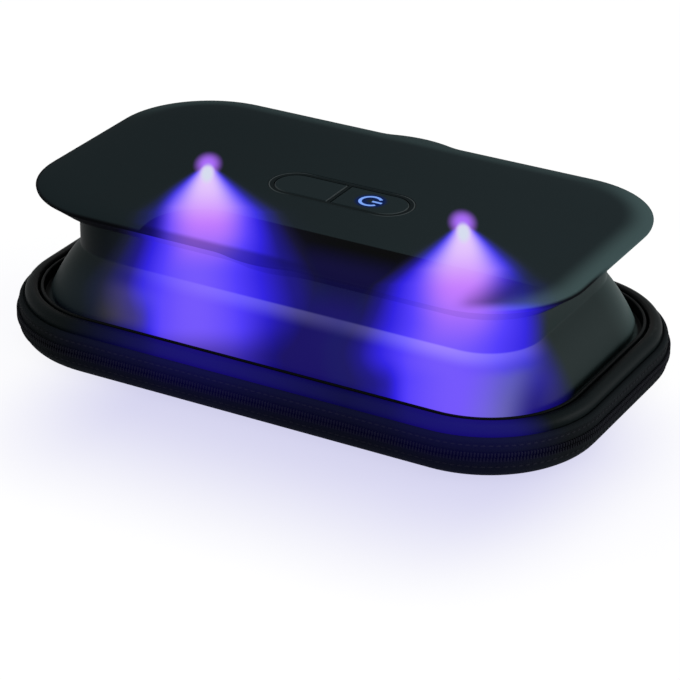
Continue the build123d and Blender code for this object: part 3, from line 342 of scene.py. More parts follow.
# ---------------- shader helpers
class Nodes:
    """Adds nodes to a tree in short calls."""

    def __init__(self, tree):
        self.tree = tree

    def feed(self, socket, value):
        """Links a socket to a socket, or sets it to a plain value."""
        if isinstance(value, bpy.types.NodeSocket):
            self.tree.links.new(value, socket)
        elif value is not None:
            socket.default_value = value

    def add(self, kind, sockets=None, **settings):
        """A node with its settings, its inputs fed by name or number."""
        node = self.tree.nodes.new(kind)
        for key, value in settings.items():
            setattr(node, key, value)
        for key, value in (sockets or {}).items():
            self.feed(node.inputs[key], value)
        return node

    def math(self, operation, *parts):
        return self.add("ShaderNodeMath", dict(enumerate(parts)), operation=operation).outputs[0]

    def times(self, first, *others):
        for other in others:
            first = self.math("MULTIPLY", first, other)
        return first

    plus = partialmethod(math, "ADD")
    less = partialmethod(math, "SUBTRACT")
    ratio = partialmethod(math, "DIVIDE")
    power = partialmethod(math, "POWER")
    least = partialmethod(math, "MINIMUM")
    most = partialmethod(math, "MAXIMUM")
    size = partialmethod(math, "ABSOLUTE")
    line = partialmethod(math, "MULTIPLY_ADD")

    def above_zero(self, value):
        return self.most(value, 0.0)

    def without(self, mask):
        """What a mask leaves."""
        return self.less(1.0, mask)

    def length(self, *parts):
        """Root of the sum of the squares."""
        total = 0.0
        for part in parts:
            total = self.line(part, part, total)
        return self.math("SQRT", total)

    def dot(self, a, b):
        return self.add("ShaderNodeVectorMath", {0: a, 1: b}, operation="DOT_PRODUCT").outputs["Value"]

    def dimmed(self, colour, strength):
        sockets = {0: colour, "Scale": strength}
        return self.add("ShaderNodeVectorMath", sockets, operation="SCALE").outputs[0]

    def mix(self, factor, a, b, blend="MIX"):
        sockets = {"Factor": factor, 6: a, 7: b}
        return self.add("ShaderNodeMix", sockets, data_type="RGBA", blend_type=blend).outputs[2]

    def fade(self, value, start, end, low=0.0, high=1.0):
        """A smooth step from low at start to high at end."""
        sockets = dict(enumerate((value, start, end, low, high)))
        return self.add("ShaderNodeMapRange", sockets, interpolation_type="SMOOTHSTEP").outputs[0]

    def window(self, *spans):
        """The product of smooth steps, each given as fade takes it."""
        return self.times(*(self.fade(*span) for span in spans))

    def ramp(self, value, stops):
        """A colour ramp; each stop is (position, colour)."""
        node = self.add("ShaderNodeValToRGB", {0: value})
        while len(node.color_ramp.elements) < len(stops):
            node.color_ramp.elements.new(1.0)
        for element, (position, colour) in zip(node.color_ramp.elements, stops):
            element.position = position
            element.color = rgba(colour)
        return node.outputs[0]

    def noise(self, vector, scale, detail=3.0):
        sockets = {"Vector": vector, "Scale": scale, "Detail": detail}
        return self.add("ShaderNodeTexNoise", sockets).outputs["Fac"]

    def place(self):
        return self.add("ShaderNodeTexCoord").outputs["Object"]

    def axes(self):
        """The place's x, y and z."""
        return self.add("ShaderNodeSeparateXYZ", {0: self.place()}).outputs

    def lamp_lines(self):
        """The place across and up the two lines that the lamps' light is laid out on."""
        place = self.place()
        return self.dot(place, ACROSS), self.dot(place, UPWARD)

    def core_distance(self):
        """Distance out of the core rectangle."""
        pairs = zip(self.axes(), CORE)
        return self.length(*[self.above_zero(self.less(self.size(part), half)) for part, half in pairs])

    def group(self, name, **values):
        """Outputs of a shared shader group, which is built the first time."""
        return self.add("ShaderNodeGroup", values, node_tree=shared_tree(name)).outputs

    def show_plainly(self, lit, plain, output, share=1.0):
        """Joins a lit shader with a plain one that the camera, a gloss or a clear piece sees."""
        rays = self.add("ShaderNodeLightPath").outputs
        mirrored = self.most(rays["Is Glossy Ray"], rays["Is Transmission Ray"])
        seen = self.most(rays["Is Camera Ray"], mirrored)
        if share < 1.0:
            seen = self.times(seen, share)
        sockets = {0: seen, 1: lit.outputs[0], 2: plain.outputs[0]}
        blend = self.add("ShaderNodeMixShader", sockets)
        self.feed(self.tree.nodes[output].inputs["Surface"], blend.outputs[0])


class Finish(Nodes):
    """A Principled material and the steps that finish it."""

    def __init__(self, name):
        self.material = bpy.data.materials.new(name)
        self.material.use_nodes = True
        super().__init__(self.material.node_tree)
        self.shader = self.tree.nodes["Principled BSDF"]

    def put(self, **sockets):
        """Feeds the shader's sockets; a name's blanks are written as underscores."""
        for key, value in sockets.items():
            self.feed(self.shader.inputs[key.replace("_", " ")], value)

    def surface(self, group, colour, depth, strength, **values):
        """Colour, roughness and, unless its depth is 0, height from a shared group."""
        given = self.group(group, Colour=rgba(colour), **values)
        self.put(Base_Color=given["Colour"], Roughness=given["Roughness"])
        if depth:
            self.bump(given["Height"], depth, strength)

    def bump(self, height, depth, strength):
        sockets = {"Strength": strength, "Distance": depth, "Height": height}
        self.put(Normal=self.add("ShaderNodeBump", sockets).outputs[0])

    def darken(self, mask, colour):
        """Mixes a colour over the base colour inside a mask."""
        base = self.shader.inputs["Base Color"].links[0].from_socket
        self.put(Base_Color=self.mix(mask, base, rgba(colour)))

    def lamp_light(self, mask, strength=1.0, point=0.0, faint=None, where=1.0):
        """Adds the lamps' light inside a mask, over a faint even light, and gives its colour and fan."""
        tint = colours()
        lit = self.group("Lamp light", Near=rgba(tint.core_near), Far=rgba(tint.core_far), Point=point)
        light = self.dimmed(lit["Light"], self.times(mask, strength))
        light = self.mix(1.0, light, self.dimmed(faint, where), "LIGHTEN")
        self.put(Emission_Color=light, Emission_Strength=1.0)
        return light, lit["Fan"]

    def spill(self, mask, faint, strong):
        """Light that falls beside the sleeve inside a mask: faint, and stronger below each lamp."""
        fan = self.group("Lamp light", Point=0.0)["Fan"]
        light = self.dimmed(self.mix(fan, rgba(faint), rgba(strong)), mask)
        self.put(Emission_Color=light, Emission_Strength=1.0)

    def light_front(self):
        """The lamps' light on the outer wall, strongest at its top."""
        x, y, z = self.axes()
        front = self.window((y, -0.04, -0.062), (x, -0.088, -0.045), (z, 0.004, 0.022, 0.1, 0.75))
        front = self.times(front, self.fade(x, -0.02, 0.02, 1.4, 1.0))
        self.spill(front, (0.001, 0.0004, 0.022), (0.0022, 0.0008, 0.052))

    def dress(self, *nodes):
        """Gives CAD nodes this finish."""
        for name in nodes:
            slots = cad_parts[name].data.materials
            slots.clear()
            slots.append(self.material)


def rgba(colour, alpha=1.0):
    return (*colour[:3], alpha)


def new_group(name, inputs, outputs, kind="ShaderNodeTree"):
    """An empty group with sockets by name and kind."""
    tree = bpy.data.node_groups.new(name, kind)
    for side, sockets in (("INPUT", inputs), ("OUTPUT", outputs)):
        for label, what in sockets.items():
            tree.interface.new_socket(name=label, in_out=side, socket_type="NodeSocket" + what)
    made = Nodes(tree)
    return made, made.add("NodeGroupInput").outputs, made.add("NodeGroupOutput").inputs


SURFACE = {"Colour": "Color", "Roughness": "Float", "Height": "Float"}


def grain_group(name):
    """Fine moulded grain: a slightly uneven colour, roughness and surface height."""
    inputs = {"Colour": "Color", "Scale": "Float", "Unevenness": "Float", "Roughness": "Float"}
    made, given, out = new_group(name, inputs, SURFACE)
    place = made.place()
    fine = made.noise(place, given["Scale"], 2.0)
    broad = made.noise(place, 45.0, 4.0)
    swing = made.times(made.less(broad, 0.5), given["Unevenness"])
    speck = made.times(made.less(fine, 0.5), made.times(given["Unevenness"], 0.8))
    gain = made.plus(made.plus(1.0, swing), speck)
    made.feed(out["Colour"], made.dimmed(given["Colour"], gain))
    made.feed(out["Roughness"], made.plus(given["Roughness"], made.times(swing, 0.7)))
    made.feed(out["Height"], fine)
    return made.tree


def weave_group(name):
    """Plain weave on three sides: threads over and under, for cloth laid on any face."""
    made, given, out = new_group(name, {"Colour": "Color", "Thread": "Float", "Depth": "Float"}, SURFACE)
    place = made.place()
    x, y, z = made.add("ShaderNodeSeparateXYZ", {0: place}).outputs
    turns = made.ratio(math.pi, given["Thread"])
    along = made.math("SINE", made.times(made.plus(x, y), turns))
    side = made.math("SINE", made.times(made.less(x, y), turns))
    rise = made.math("SINE", made.times(z, made.times(turns, 1.4)))
    flat = made.times(along, side)
    wall = made.times(made.plus(along, side), rise)
    height = made.line(made.plus(flat, made.times(wall, 0.5)), 0.25, 0.5)
    fuzz = made.noise(place, 2600.0, 2.0)
    # Painted shade: the colour is darker where the weave lies low, and varies with the fuzz.
    shade = made.line(made.plus(height, fuzz), given["Depth"], made.without(given["Depth"]))
    made.feed(out["Colour"], made.dimmed(given["Colour"], shade))
    made.feed(out["Roughness"], made.line(fuzz, 0.2, 0.65))
    made.feed(out["Height"], made.plus(height, made.times(fuzz, 0.3)))
    return made.tree


def lamp_field(made, across, up, lamp):
    """One lamp's light: the depth below it, its fan, what is left of that, its core, halo and heart."""
    down = made.less(lamp.up, up)
    deep = made.above_zero(down)
    past = made.less(across, made.line(made.fade(down, 0.003, 0.029), lamp.drift, lamp.across))
    growth, start = FAN_FAR
    width = made.line(deep, growth * lamp.wide, start * lamp.wide)
    width = made.least(made.line(deep, *FAN_NEAR), width)
    # The brightest part leans to the left lower down, while the outer edges stay.
    edge = made.ratio(past, made.times(width, 1.4))
    lean = made.above_zero(made.without(made.times(edge, edge)))
    lean = made.times(lean, made.fade(down, lamp.lean_start, lamp.lean_start + 0.015, 0.0, LEAN))
    lean = made.times(lean, made.fade(down, lamp.lean_end + 0.008, lamp.lean_end))
    side = made.size(made.plus(past, lean))
    spread = made.power(made.ratio(side, width), made.fade(down, 0.014, 0.045, 3.2, 2.0))
    fan = made.times(made.math("EXPONENT", made.times(spread, FAN_FALL)), made.fade(down, 0.0, 0.004))
    narrowed = made.window((past, -0.0165, -0.0255), (down, 0.044, 0.058, 0.0, 0.4))
    fan = made.times(fan, made.without(narrowed))
    width = made.least(made.line(deep, *CORE_NEAR), CORE_FAR)
    spread = made.power(made.ratio(side, width), 3.0)
    core = made.math("EXPONENT", made.times(spread, -1.0))
    core = made.times(core, made.fade(down, 0.0, 0.002), made.fade(down, lamp.tail, 0.019))
    dying = made.window((down, 0.048, 0.066), (past, 0.008, 0.028, 0.0, 0.55))
    left_over = made.times(made.fade(down, lamp.reach, lamp.reach + 0.012, 1.0, 0.42), made.without(dying))
    halo = made.fade(made.length(past, down), 0.0061, 0.0012)
    heart = made.fade(made.length(past, made.line(down, 0.62, -0.0024)), 0.0032, 0.0009)
    return down, fan, left_over, core, halo, heart


def glow_group(name):
    """Light of the two lamps: a bright point, a core below it and a fan round that."""
    inputs = {"Near": "Color", "Far": "Color", "Point": "Float"}
    made, given, out = new_group(name, inputs, {"Light": "Color", "Fan": "Float"})
    across, up = made.lamp_lines()
    lights, fans = [], []
    for lamp in (LEFT_LAMP, RIGHT_LAMP):
        down, fan, left_over, core, halo, heart = lamp_field(made, across, up, lamp)
        light = made.dimmed(made.ramp(fan, FAN_COLOURS), left_over)
        light = made.mix(made.times(halo, given["Point"]), light, HALO_COLOUR)
        light = made.mix(core, light, made.mix(made.fade(down, 0.006, 0.026), given["Near"], given["Far"]))
        lights.append(made.mix(made.times(heart, given["Point"]), light, HEART_COLOUR))
        fans.append(fan)
    made.feed(out["Light"], made.mix(1.0, *lights, "ADD"))
    made.feed(out["Fan"], made.most(*fans))
    return made.tree


# ---------------- finishes
def moulded(name, colour, roughness, specular=0.3, grain=1500.0, unevenness=0.12, depth=0.03 * MM):
    """Moulded plastic or rubber with a fine grain."""
    made = Finish(name)
    grained = {"Scale": grain, "Unevenness": unevenness, "Roughness": roughness}
    made.surface("Moulded grain", colour, depth, 0.35, **grained)
    made.put(Specular_IOR_Level=specular)
    return made


def cloth(name, colour, thread):
    """Woven cloth, by the width of its thread."""
    made = Finish(name)
    made.surface("Plain weave", colour, 0.08 * MM, 0.6, Thread=thread, Depth=0.4)
    made.put(Specular_IOR_Level=0.02)
    return made


def metal(name, colour, roughness, metallic=1.0):
    """Plated or painted metal."""
    made = Finish(name)
    made.surface("Moulded grain", colour, 0.02 * MM, 0.25, Scale=900.0, Unevenness=0.2, Roughness=roughness)
    made.put(Metallic=metallic)
    return made


def lid_finish():
    """Soft-touch lid with the lamps' fans painted on it, a painted dark strip along its front, painted shade
    to the left and on its front edge, and painted highlights on its rolled edges.
    """
    made = moulded("soft_touch_lid", colours().lid, 0.62, specular=0.006, unevenness=0.08)
    x, y, z = made.axes()
    out = made.core_distance()
    # Painted shade: the lid grows darker towards its left end.
    made.darken(made.fade(x, 0.09, -0.09, 0.0, 0.55), (0.0052, 0.009, 0.0104))
    # Painted highlights: the rolled edge is paler at the right end and, less so, along the rear.
    right = made.window((out, 25.0 * MM, 34.5 * MM), (x, 0.06, 0.1))
    rear = made.window((out, 28.0 * MM, 33.5 * MM), (y, 0.02, 0.045, 0.0, 0.4))
    made.darken(made.most(right, rear), (0.036, 0.06, 0.061))
    # Painted shade: a near-black strip along the front stands for the dark inside seen through the lid.
    past, fore = made.above_zero(made.less(-26.0 * MM, x)), made.above_zero(made.plus(y, 56.0 * MM))
    strip = made.window((made.length(past, fore), 22.0 * MM, 21.2 * MM), (x, 0.1, 0.08))
    made.darken(strip, (0.001, 0.0012, 0.0014))
    # Painted shade: the front of the wall below the rolled edge is darker.
    edge = LID_TOP - LID_EDGE_DROP
    made.darken(made.window((z, edge + 0.4 * MM, edge), (y, 0.0, -0.02)), (0.0016, 0.002, 0.0026))
    strip = made.times(strip, made.fade(y, -0.038, -0.058), made.fade(x, -0.05, -0.02, 0.12, 1.0))
    # The fans are dimmer left of the left lamp, right below the right lamp and along the front edge.
    across, up = made.lamp_lines()
    lit = made.window((y, 0.022, 0.006), (across, -0.0672, -0.059, 0.3, 1.0))
    front = made.window((y, -0.0565, -0.06), (x, 0.03, 0.0, 0.0, 0.45))
    low, right = made.less(RIGHT_LAMP.up - 0.02, up), made.less(across, RIGHT_LAMP.across)
    corner = made.window(
        (made.line(low, 1.6, right), 0.004, 0.024), (across, 0.036, 0.044, 0.0, 0.75), (up, 0.0125, 0.0165)
    )
    lit = made.times(lit, made.without(front), made.without(corner))
    made.lamp_light(lit, point=1.0, faint=(0.004, 0.0026, 0.04), where=strip)
    return made.material


def sleeve_finish():
    """Smoked silicone, lit from inside along its front, with a black lip in the shade of the rim."""
    made = moulded("smoked_sleeve", colours().sleeve, 0.5, specular=0.03, unevenness=0.1)
    lip = made.fade(made.core_distance(), 33.2 * MM, 33.8 * MM)
    made.darken(lip, (0.0022, 0.003, 0.0032))
    x, y, z = made.axes()
    front = made.times(made.fade(y, -0.018, -0.036), made.without(lip))
    # The neck is lit between the lamps alone and the skirt a little further to the left.
    neck = made.fade(z, CREASE_HEIGHT, CREASE_HEIGHT + 1.0 * MM)
    upper, lower = made.fade(x, *NECK_LIGHT), made.fade(x, -0.068, -0.05)
    left = made.line(neck, made.less(upper, lower), lower)
    # Painted shade: the neck darkens towards its left end, under the lid.
    made.darken(made.times(neck, made.fade(x, -0.058, -0.074, 0.0, 0.8)), (0.0036, 0.006, 0.0068))
    between = made.times(front, left, made.fade(x, 0.106, 0.07), made.fade(z, 0.053, 0.038, 0.45, 1.1))
    # Painted shade: the lit front is darker, with a violet tinge.
    made.darken(made.times(between, 0.7), (0.0035, 0.003, 0.005))
    glow, fan = made.lamp_light(front, faint=(0.0068, 0.0034, 0.11), where=between)
    # Under the painted fans the base colour is darker.
    made.darken(made.times(front, made.fade(fan, 0.08, 0.34)), (0.003, 0.0026, 0.004))
    # Painted highlight: the right rear corner of the sleeve is paler.
    corner = made.window((x, 0.08, 0.096), (y, 0.016, 0.046))
    made.darken(made.times(corner, made.without(lip)), (0.034, 0.052, 0.051))
    # The skirt catches more of the light just below the crease.
    band = made.window((z, 0.0382, 0.0374), (z, 0.0325, 0.0376), (x, -0.045, 0.01, 0.3, 1.0))
    faint, strong = made.dimmed((0.026, 0.026, 0.1), between), (0.135, 0.118, 0.055, 1)
    pale = made.dimmed(made.mix(fan, faint, strong), made.times(band, front))
    glow = made.mix(1.0, glow, pale, "ADD")
    # Its right front corner turns away from the lamp and shows a greyer light.
    turned = made.times(made.window((x, 0.076, 0.096), (z, 0.037, 0.03)), front)
    grey = made.dimmed((0.1, 0.115, 0.03), made.times(turned, fan, made.fade(x, 0.1, 0.091)))
    glow = made.dimmed(glow, made.line(turned, -0.5, 1.0))
    # Painted light: a pale glow lies on the skirt at the left edge of the left pool.
    pale_glow = made.window((x, -0.074, -0.06), (x, -0.04, -0.054))
    pale_glow = made.times(pale_glow, made.window((z, 0.036, 0.029), (z, 0.017, 0.023)), front)
    glow = made.mix(1.0, glow, made.dimmed((0.034, 0.028, 0.0), pale_glow), "ADD")
    made.put(Emission_Color=made.mix(1.0, glow, grey, "ADD"))
    return made.material


# ---------------- what repeats along a line
def repeat_tree(name):
    """Geometry nodes: copies of one piece set at a pitch along a line, turned to follow it."""
    inputs = {"Geometry": "Geometry", "Piece": "Object", "Pitch": "Float", "Material": "Material"}
    made, given, out = new_group(name, inputs, {"Geometry": "Geometry"}, "GeometryNodeTree")
    sockets = {"Curve": given["Geometry"], "Length": given["Pitch"]}
    points = made.add("GeometryNodeCurveToPoints", sockets, mode="LENGTH").outputs
    sockets = {"Vector": points["Tangent"]}
    turned = made.add("FunctionNodeAlignRotationToVector", sockets, axis="X", pivot_axis="Z").outputs[0]
    piece = made.add("GeometryNodeObjectInfo", {"Object": given["Piece"]}).outputs["Geometry"]
    sockets = {"Points": points["Points"], "Instance": piece, "Rotation": turned}
    copies = made.add("GeometryNodeInstanceOnPoints", sockets).outputs[0]
    real = made.add("GeometryNodeRealizeInstances", {0: copies}).outputs[0]
    paint = made.add("GeometryNodeSetMaterial", {"Geometry": real, "Material": given["Material"]})
    made.feed(out["Geometry"], paint.outputs[0])
    return made.tree


GROUPS = {
    "Moulded grain": grain_group,
    "Plain weave": weave_group,
    "Lamp light": glow_group,
    "Set along a line": repeat_tree,
}


def shared_tree(name):
    """A shared node group, built the first time."""
    return bpy.data.node_groups.get(name) or GROUPS[name](name)


def line_object(points):
    """A curve through the points, straight from one to the next."""
    curve = bpy.data.curves.new("line", "CURVE")
    curve.dimensions = "3D"
    spline = curve.splines.new("POLY")
    spline.points.add(len(points) - 1)
    for spot, point in zip(spline.points, points):
        spot.co = (*point, 1.0)
    piece = bpy.data.objects.new("line", curve)
    bpy.context.scene.collection.objects.link(piece)
    return piece


def repeated(name, lines, piece, pitch, material):
    """One mesh of the piece repeated along each line."""
    tree = shared_tree("Set along a line")
    values = {"Piece": piece, "Pitch": pitch, "Material": material}
    work = bmesh.new()
    for points in lines:
        line = line_object(points)
        modifier = line.modifiers.new("Set along a line", "NODES")
        modifier.node_group = tree
        for item in tree.interface.items_tree:
            if item.name in values:
                modifier[item.identifier] = values[item.name]
        bpy.context.view_layer.update()
        shape = line.evaluated_get(bpy.context.evaluated_depsgraph_get())
        work.from_mesh(bpy.data.meshes.new_from_object(shape))
        line.modifiers.clear()
        bpy.data.objects.remove(line)
    return smoothed(name, work, material, SMOOTH_SMALL)


def zip_line(radius, height, lead=0.0):
    """The line of the zip, from one side of the hinge round to the other, begun sooner by the lead."""
    whole = [(*(origin + outward * radius), height) for origin, outward in stations()]
    kept = [p for p in whole if not (p[1] > CORE.y and abs(p[0]) < ZIP_GAP)]
    start = next(k for k, p in enumerate(kept) if p[0] < 0 and p[1] > CORE.y)
    rear = CORE.y + radius
    return [(-ZIP_GAP - lead, rear, height)] + kept[start:] + kept[:start] + [(ZIP_GAP, rear, height)]


# ---------------- pieces
class CASE_OT_lid_cover(bpy.types.Operator):
    """Crowned lid with rolled edges, thumb bumps and the opening for the control"""

    bl_idname = "case.lid_cover"
    bl_label = "Lid cover"

    def execute(self, context):
        top, bottom, edge = LID_TOP, LID_TOP - LID_WALL, LID_TOP - LID_EDGE_DROP
        foot = edge - LID_EDGE_HEIGHT
        first, second = (LID_RADIUS * share for share in CROWN_HANDLES)
        handles = ((LID_FLAT, top), (first, top), (second, top - CROWN_DIP), (LID_RADIUS, edge))
        crown = bezier(handles, CROWN_STEPS)
        lip = [(LID_RADIUS, edge, 0), (LID_RADIUS - LID_LIP_SLOPE, foot, LID_LIP_ROUNDING)]
        lip += [(LID_RADIUS - LID_LIP_WIDTH, foot, LID_LIP_ROUNDING), (LID_RADIUS * LID_FLANGE, bottom, 0)]
        profile = [(LID_FLAT / 2, top)] + crown[:-1] + rounded(lip) + [(LID_FLAT / 2, bottom)]
        work, rings = swept(profile, THUMB_BUMP, closed=False)
        holes = []
        for place, height in ((0, top), (-1, bottom)):
            hole = slot_loop(work, CONTROL.x, CONTROL.y, height)
            edges = loop_edges(work, hole) + loop_edges(work, [ring[place] for ring in rings])
            bmesh.ops.triangle_fill(work, use_beauty=True, edges=edges)
            holes.append(hole)
        upper, lower = holes
        for k, after in enumerate([*range(1, len(upper)), 0]):
            work.faces.new((upper[k], upper[after], lower[after], lower[k]))
        lid = finished("lid_cover_skin", work, lid_finish(), SMOOTH_LID)
        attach(lid, "lid")
        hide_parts("lid_cover")
        return {"FINISHED"}


class CASE_OT_sleeve(bpy.types.Operator):
    """One moulded sleeve from its flange up to the collar under the lid"""

    bl_idname = "case.sleeve"
    bl_label = "Pop-up sleeve"

    def execute(self, context):
        wall, low, high = SLEEVE_WALL, SLEEVE_LOW.z, SLEEVE_HIGH.z
        flange = SLEEVE_HIGH.x - CORE.x
        valley = low + wall
        tuck = valley + SKIRT_FOOT_RISE
        foot, crease = Vector((SKIRT_FOOT_RADIUS, tuck)), Vector((NECK_RADIUS, CREASE_HEIGHT))
        out = (foot - crease).orthogonal().normalized()
        if out.x < 0:
            out = -out
        middle = (foot + crease) / 2 + out * SKIRT_BULGE * BULGE_REACH
        first, second = SKIRT_HANDLES
        skirt = bezier((foot, foot.lerp(middle, first), middle.lerp(crease, second), crease), SKIRT_STEPS)
        inner = [(r - out.x * wall, z - out.y * wall) for r, z in skirt]
        lip_out, lip_in = LIP_RADIUS + LIP_WIDTH / 2, LIP_RADIUS - LIP_WIDTH / 2
        lip_top = valley + LIP_HEIGHT
        base = [
            (foot.x - wall * 1.5, low, 0),
            (flange, low, FLANGE_ROUNDING),
            (flange, valley, 0),
            (lip_out, valley, VALLEY_ROUNDING),
            (lip_out, lip_top, LIP_ROUNDING),
            (lip_in, lip_top, LIP_ROUNDING),
            (lip_in, valley, LIP_ROUNDING),
            (foot.x - wall / 2, valley, VALLEY_ROUNDING),
            (foot.x - TUCK_INSET, tuck - TUCK_DROP, 0),
        ]
        rise = (high - CREASE_HEIGHT) / NECK_STEPS
        neck = [(NECK_RADIUS, CREASE_HEIGHT + rise * k) for k in range(1, NECK_STEPS)]
        collar = [
            (*neck[-1], 0),
            (NECK_RADIUS, high, LIP_ROUNDING),
            (COLLAR_RADIUS, high, COLLAR_ROUNDING),
            (COLLAR_RADIUS, high - wall, COLLAR_ROUNDING),
            (NECK_RADIUS - wall, high - wall, LIP_ROUNDING),
            (NECK_RADIUS - wall, CREASE_HEIGHT - wall / 2, 0),
        ]
        fold = [(*skirt[-3], 0), (*skirt[-1], FOLD_ROUNDING), (*neck[1], 0)]
        profile = rounded(base) + skirt[:-3] + rounded(fold) + neck[2:-1] + rounded(collar) + inner[-3::-1]
        sleeve = finished("sleeve_skin", swept(profile)[0], sleeve_finish(), SMOOTH_SLEEVE)
        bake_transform(sleeve)
        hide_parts("pop_sleeve")
        return {"FINISHED"}


class CASE_OT_shells(bpy.types.Operator):
    """Fabric of the soft shells and tapes, satin of the rim, the film and the hidden hard parts"""

    bl_idname = "case.shells"
    bl_label = "Shells and rim"

    def execute(self, context):
        shell = cloth("shell_fabric", colours().shell, 0.55 * MM)
        shell.light_front()
        shell.dress("lower_shell", "upper_shell")
        rim = moulded("satin_rim", colours().rim, 0.5, specular=0.025)
        # Painted shade: the rim's inner slope, towards the sleeve, is darker.
        rim.darken(rim.fade(rim.core_distance(), 39.6 * MM, 39.0 * MM), (0.0018, 0.0024, 0.0026))
        x, y, _ = rim.axes()
        front = rim.window((y, -0.045, -0.058), (x, -0.08, -0.04))
        rim.spill(front, (0.001, 0.0002, 0.03), (0.006, 0.0016, 0.15))
        rim.dress("rim_bezel")
        moulded("hard_black", (0.01, 0.013, 0.013), 0.5).dress("sleeve_clamp", "neck_ring")
        under = moulded("lid_underside", (0.0022, 0.0026, 0.0036), 0.6, specular=0.02)
        x, y, _ = under.axes()
        front = under.fade(y, -0.03, -0.044)
        between = under.times(front, under.fade(x, *NECK_LIGHT))
        under.lamp_light(front, 0.85, faint=(0.003, 0.002, 0.04), where=between)
        under.dress("lid_base")
        film = moulded("reflective_film", (0.62, 0.63, 0.67), 0.3, specular=0.5, grain=900.0, depth=0)
        film.put(Metallic=0.85)
        film.bump(film.noise(film.place(), 55.0, 2.0), 1.2 * MM, 0.5)
        film.dress("tray_liner")
        tape = cloth("zip_tape", (0.0034, 0.0044, 0.0052), 0.5 * MM)
        tape.light_front()
        tape.dress("lower_zip_tape", "upper_zip_tape")
        return {"FINISHED"}


class CASE_OT_zip_teeth(bpy.types.Operator):
    """The two halves of the coil, tooth by tooth"""

    bl_idname = "case.zip_teeth"
    bl_label = "Zip teeth"

    def execute(self, context):
        coil = moulded("nylon_coil", (0.005, 0.0054, 0.0074), 0.6, specular=0.02)
        coil.light_front()
        pitch = sizes().tooth_pitch
        depth = COIL_HIGH.x - CORE.x - SHELL_RADIUS - 2 * TOOTH_CLEARANCE
        width = COIL_HIGH.z - COIL_LOW.z
        for name, body, node, sign, lead in (
            ("lower_zip_teeth", "base", "lower_zip_coil", -1, 0.0),
            ("upper_zip_teeth", "upper_frame", "upper_zip_coil", 1, pitch / 2),
        ):
            low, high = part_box(node)
            work = bmesh.new()
            bmesh.ops.create_cube(work, size=1.0)
            for vertex in work.verts:
                spot = vertex.co
                spot.x *= pitch * TOOTH_SHARE
                spot.y *= depth
                spot.z *= width
                if spot.z * sign < 0:
                    spot.x *= TOOTH_NARROW
            bmesh.ops.bevel(
                work, geom=work.edges[:], offset=TOOTH_BEVEL, segments=1, affect="EDGES", profile=0.6
            )
            tooth = finished(name + "_one", work, None, SMOOTH_SMALL)
            radius = SHELL_RADIUS + TOOTH_CLEARANCE + depth / 2
            line = zip_line(radius, (low.z + high.z) / 2, lead)
            teeth = repeated(name, [line], tooth, pitch, coil.material)
            bpy.data.objects.remove(tooth)
            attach(teeth, body)
            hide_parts(node)
        return {"FINISHED"}


class CASE_OT_stitching(bpy.types.Operator):
    """Rows of lock stitch that hold the tapes in the shells"""

    bl_idname = "case.stitching"
    bl_label = "Stitching"

    def execute(self, context):
        cotton = cloth("sewing_thread", (0.0075, 0.0082, 0.01), 0.2 * MM)
        cotton.light_front()
        thread, length = sizes().thread, sizes().stitch_length
        work = bmesh.new()
        bmesh.ops.create_uvsphere(work, u_segments=8, v_segments=5, radius=thread)
        for vertex in work.verts:
            vertex.co = Vector((vertex.co.z * length / (2 * thread), vertex.co.y, vertex.co.x))
        stitch = finished("stitch_one", work, None, SMOOTH_ROUND)
        reach, back = LEAF_HIGH.x - STRIP_INSET, LEAF_HIGH.y
        for name, body, height in (
            ("lower_stitches", "base", LOWER_TOP - SHELL_SEAM),
            ("upper_stitches", "upper_frame", UPPER_FOOT + SHELL_SEAM),
        ):
            lines = [zip_line(SHELL_RADIUS, height), [(-reach, back, height), (reach, back, height)]]
            row = repeated(name, lines, stitch, sizes().stitch_pitch, cotton.material)
            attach(row, body)
        bpy.data.objects.remove(stitch)
        return {"FINISHED"}


class CASE_OT_hinge_strip(bpy.types.Operator):
    """One strip of fabric along the back that both halves are sewn to"""

    bl_idname = "case.hinge_strip"
    bl_label = "Hinge strip"

    def execute(self, context):
        low, high, half = LEAF_LOW.z, LEAF_TOP, LEAF_HIGH.x
        steps = [-half + 2 * half * k / STRIP_COLUMNS for k in range(STRIP_COLUMNS + 1)]
        work = bmesh.new()
        grid = []
        for base, bowed in ((LEAF_HIGH.y, 1), (LEAF_LOW.y + STRIP_THINNING, 0)):
            for j in range(STRIP_ROWS + 1):
                z = low + (high - low) * j / STRIP_ROWS
                bow = sizes().hinge_slack * math.exp(-(((z - ZIP_HEIGHT) / BOW_HEIGHT) ** 2))
                y = base + bowed * (bow - STRIP_HEM * (j in (0, STRIP_ROWS)))
                grid.append([work.verts.new((x, y, z)) for x in steps])
        order = grid[: STRIP_ROWS + 1] + grid[:STRIP_ROWS:-1]
        for row, after in zip(order, order[1:] + order[:1]):
            for k in range(STRIP_COLUMNS):
                work.faces.new((row[k], row[k + 1], after[k + 1], after[k]))
        for k in (0, STRIP_COLUMNS):
            work.faces.new([row[k] for row in order])
        canvas = cloth("hinge_cloth", (0.007, 0.008, 0.009), 0.6 * MM).material
        strip = finished("hinge_strip", work, canvas, SMOOTH_STRIP)
        low, high = ZIP_HEIGHT - BEND_HALF, ZIP_HEIGHT + BEND_HALF
        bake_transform(strip)
        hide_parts("lower_hinge_leaf", "upper_hinge_leaf")
        return {"FINISHED"}


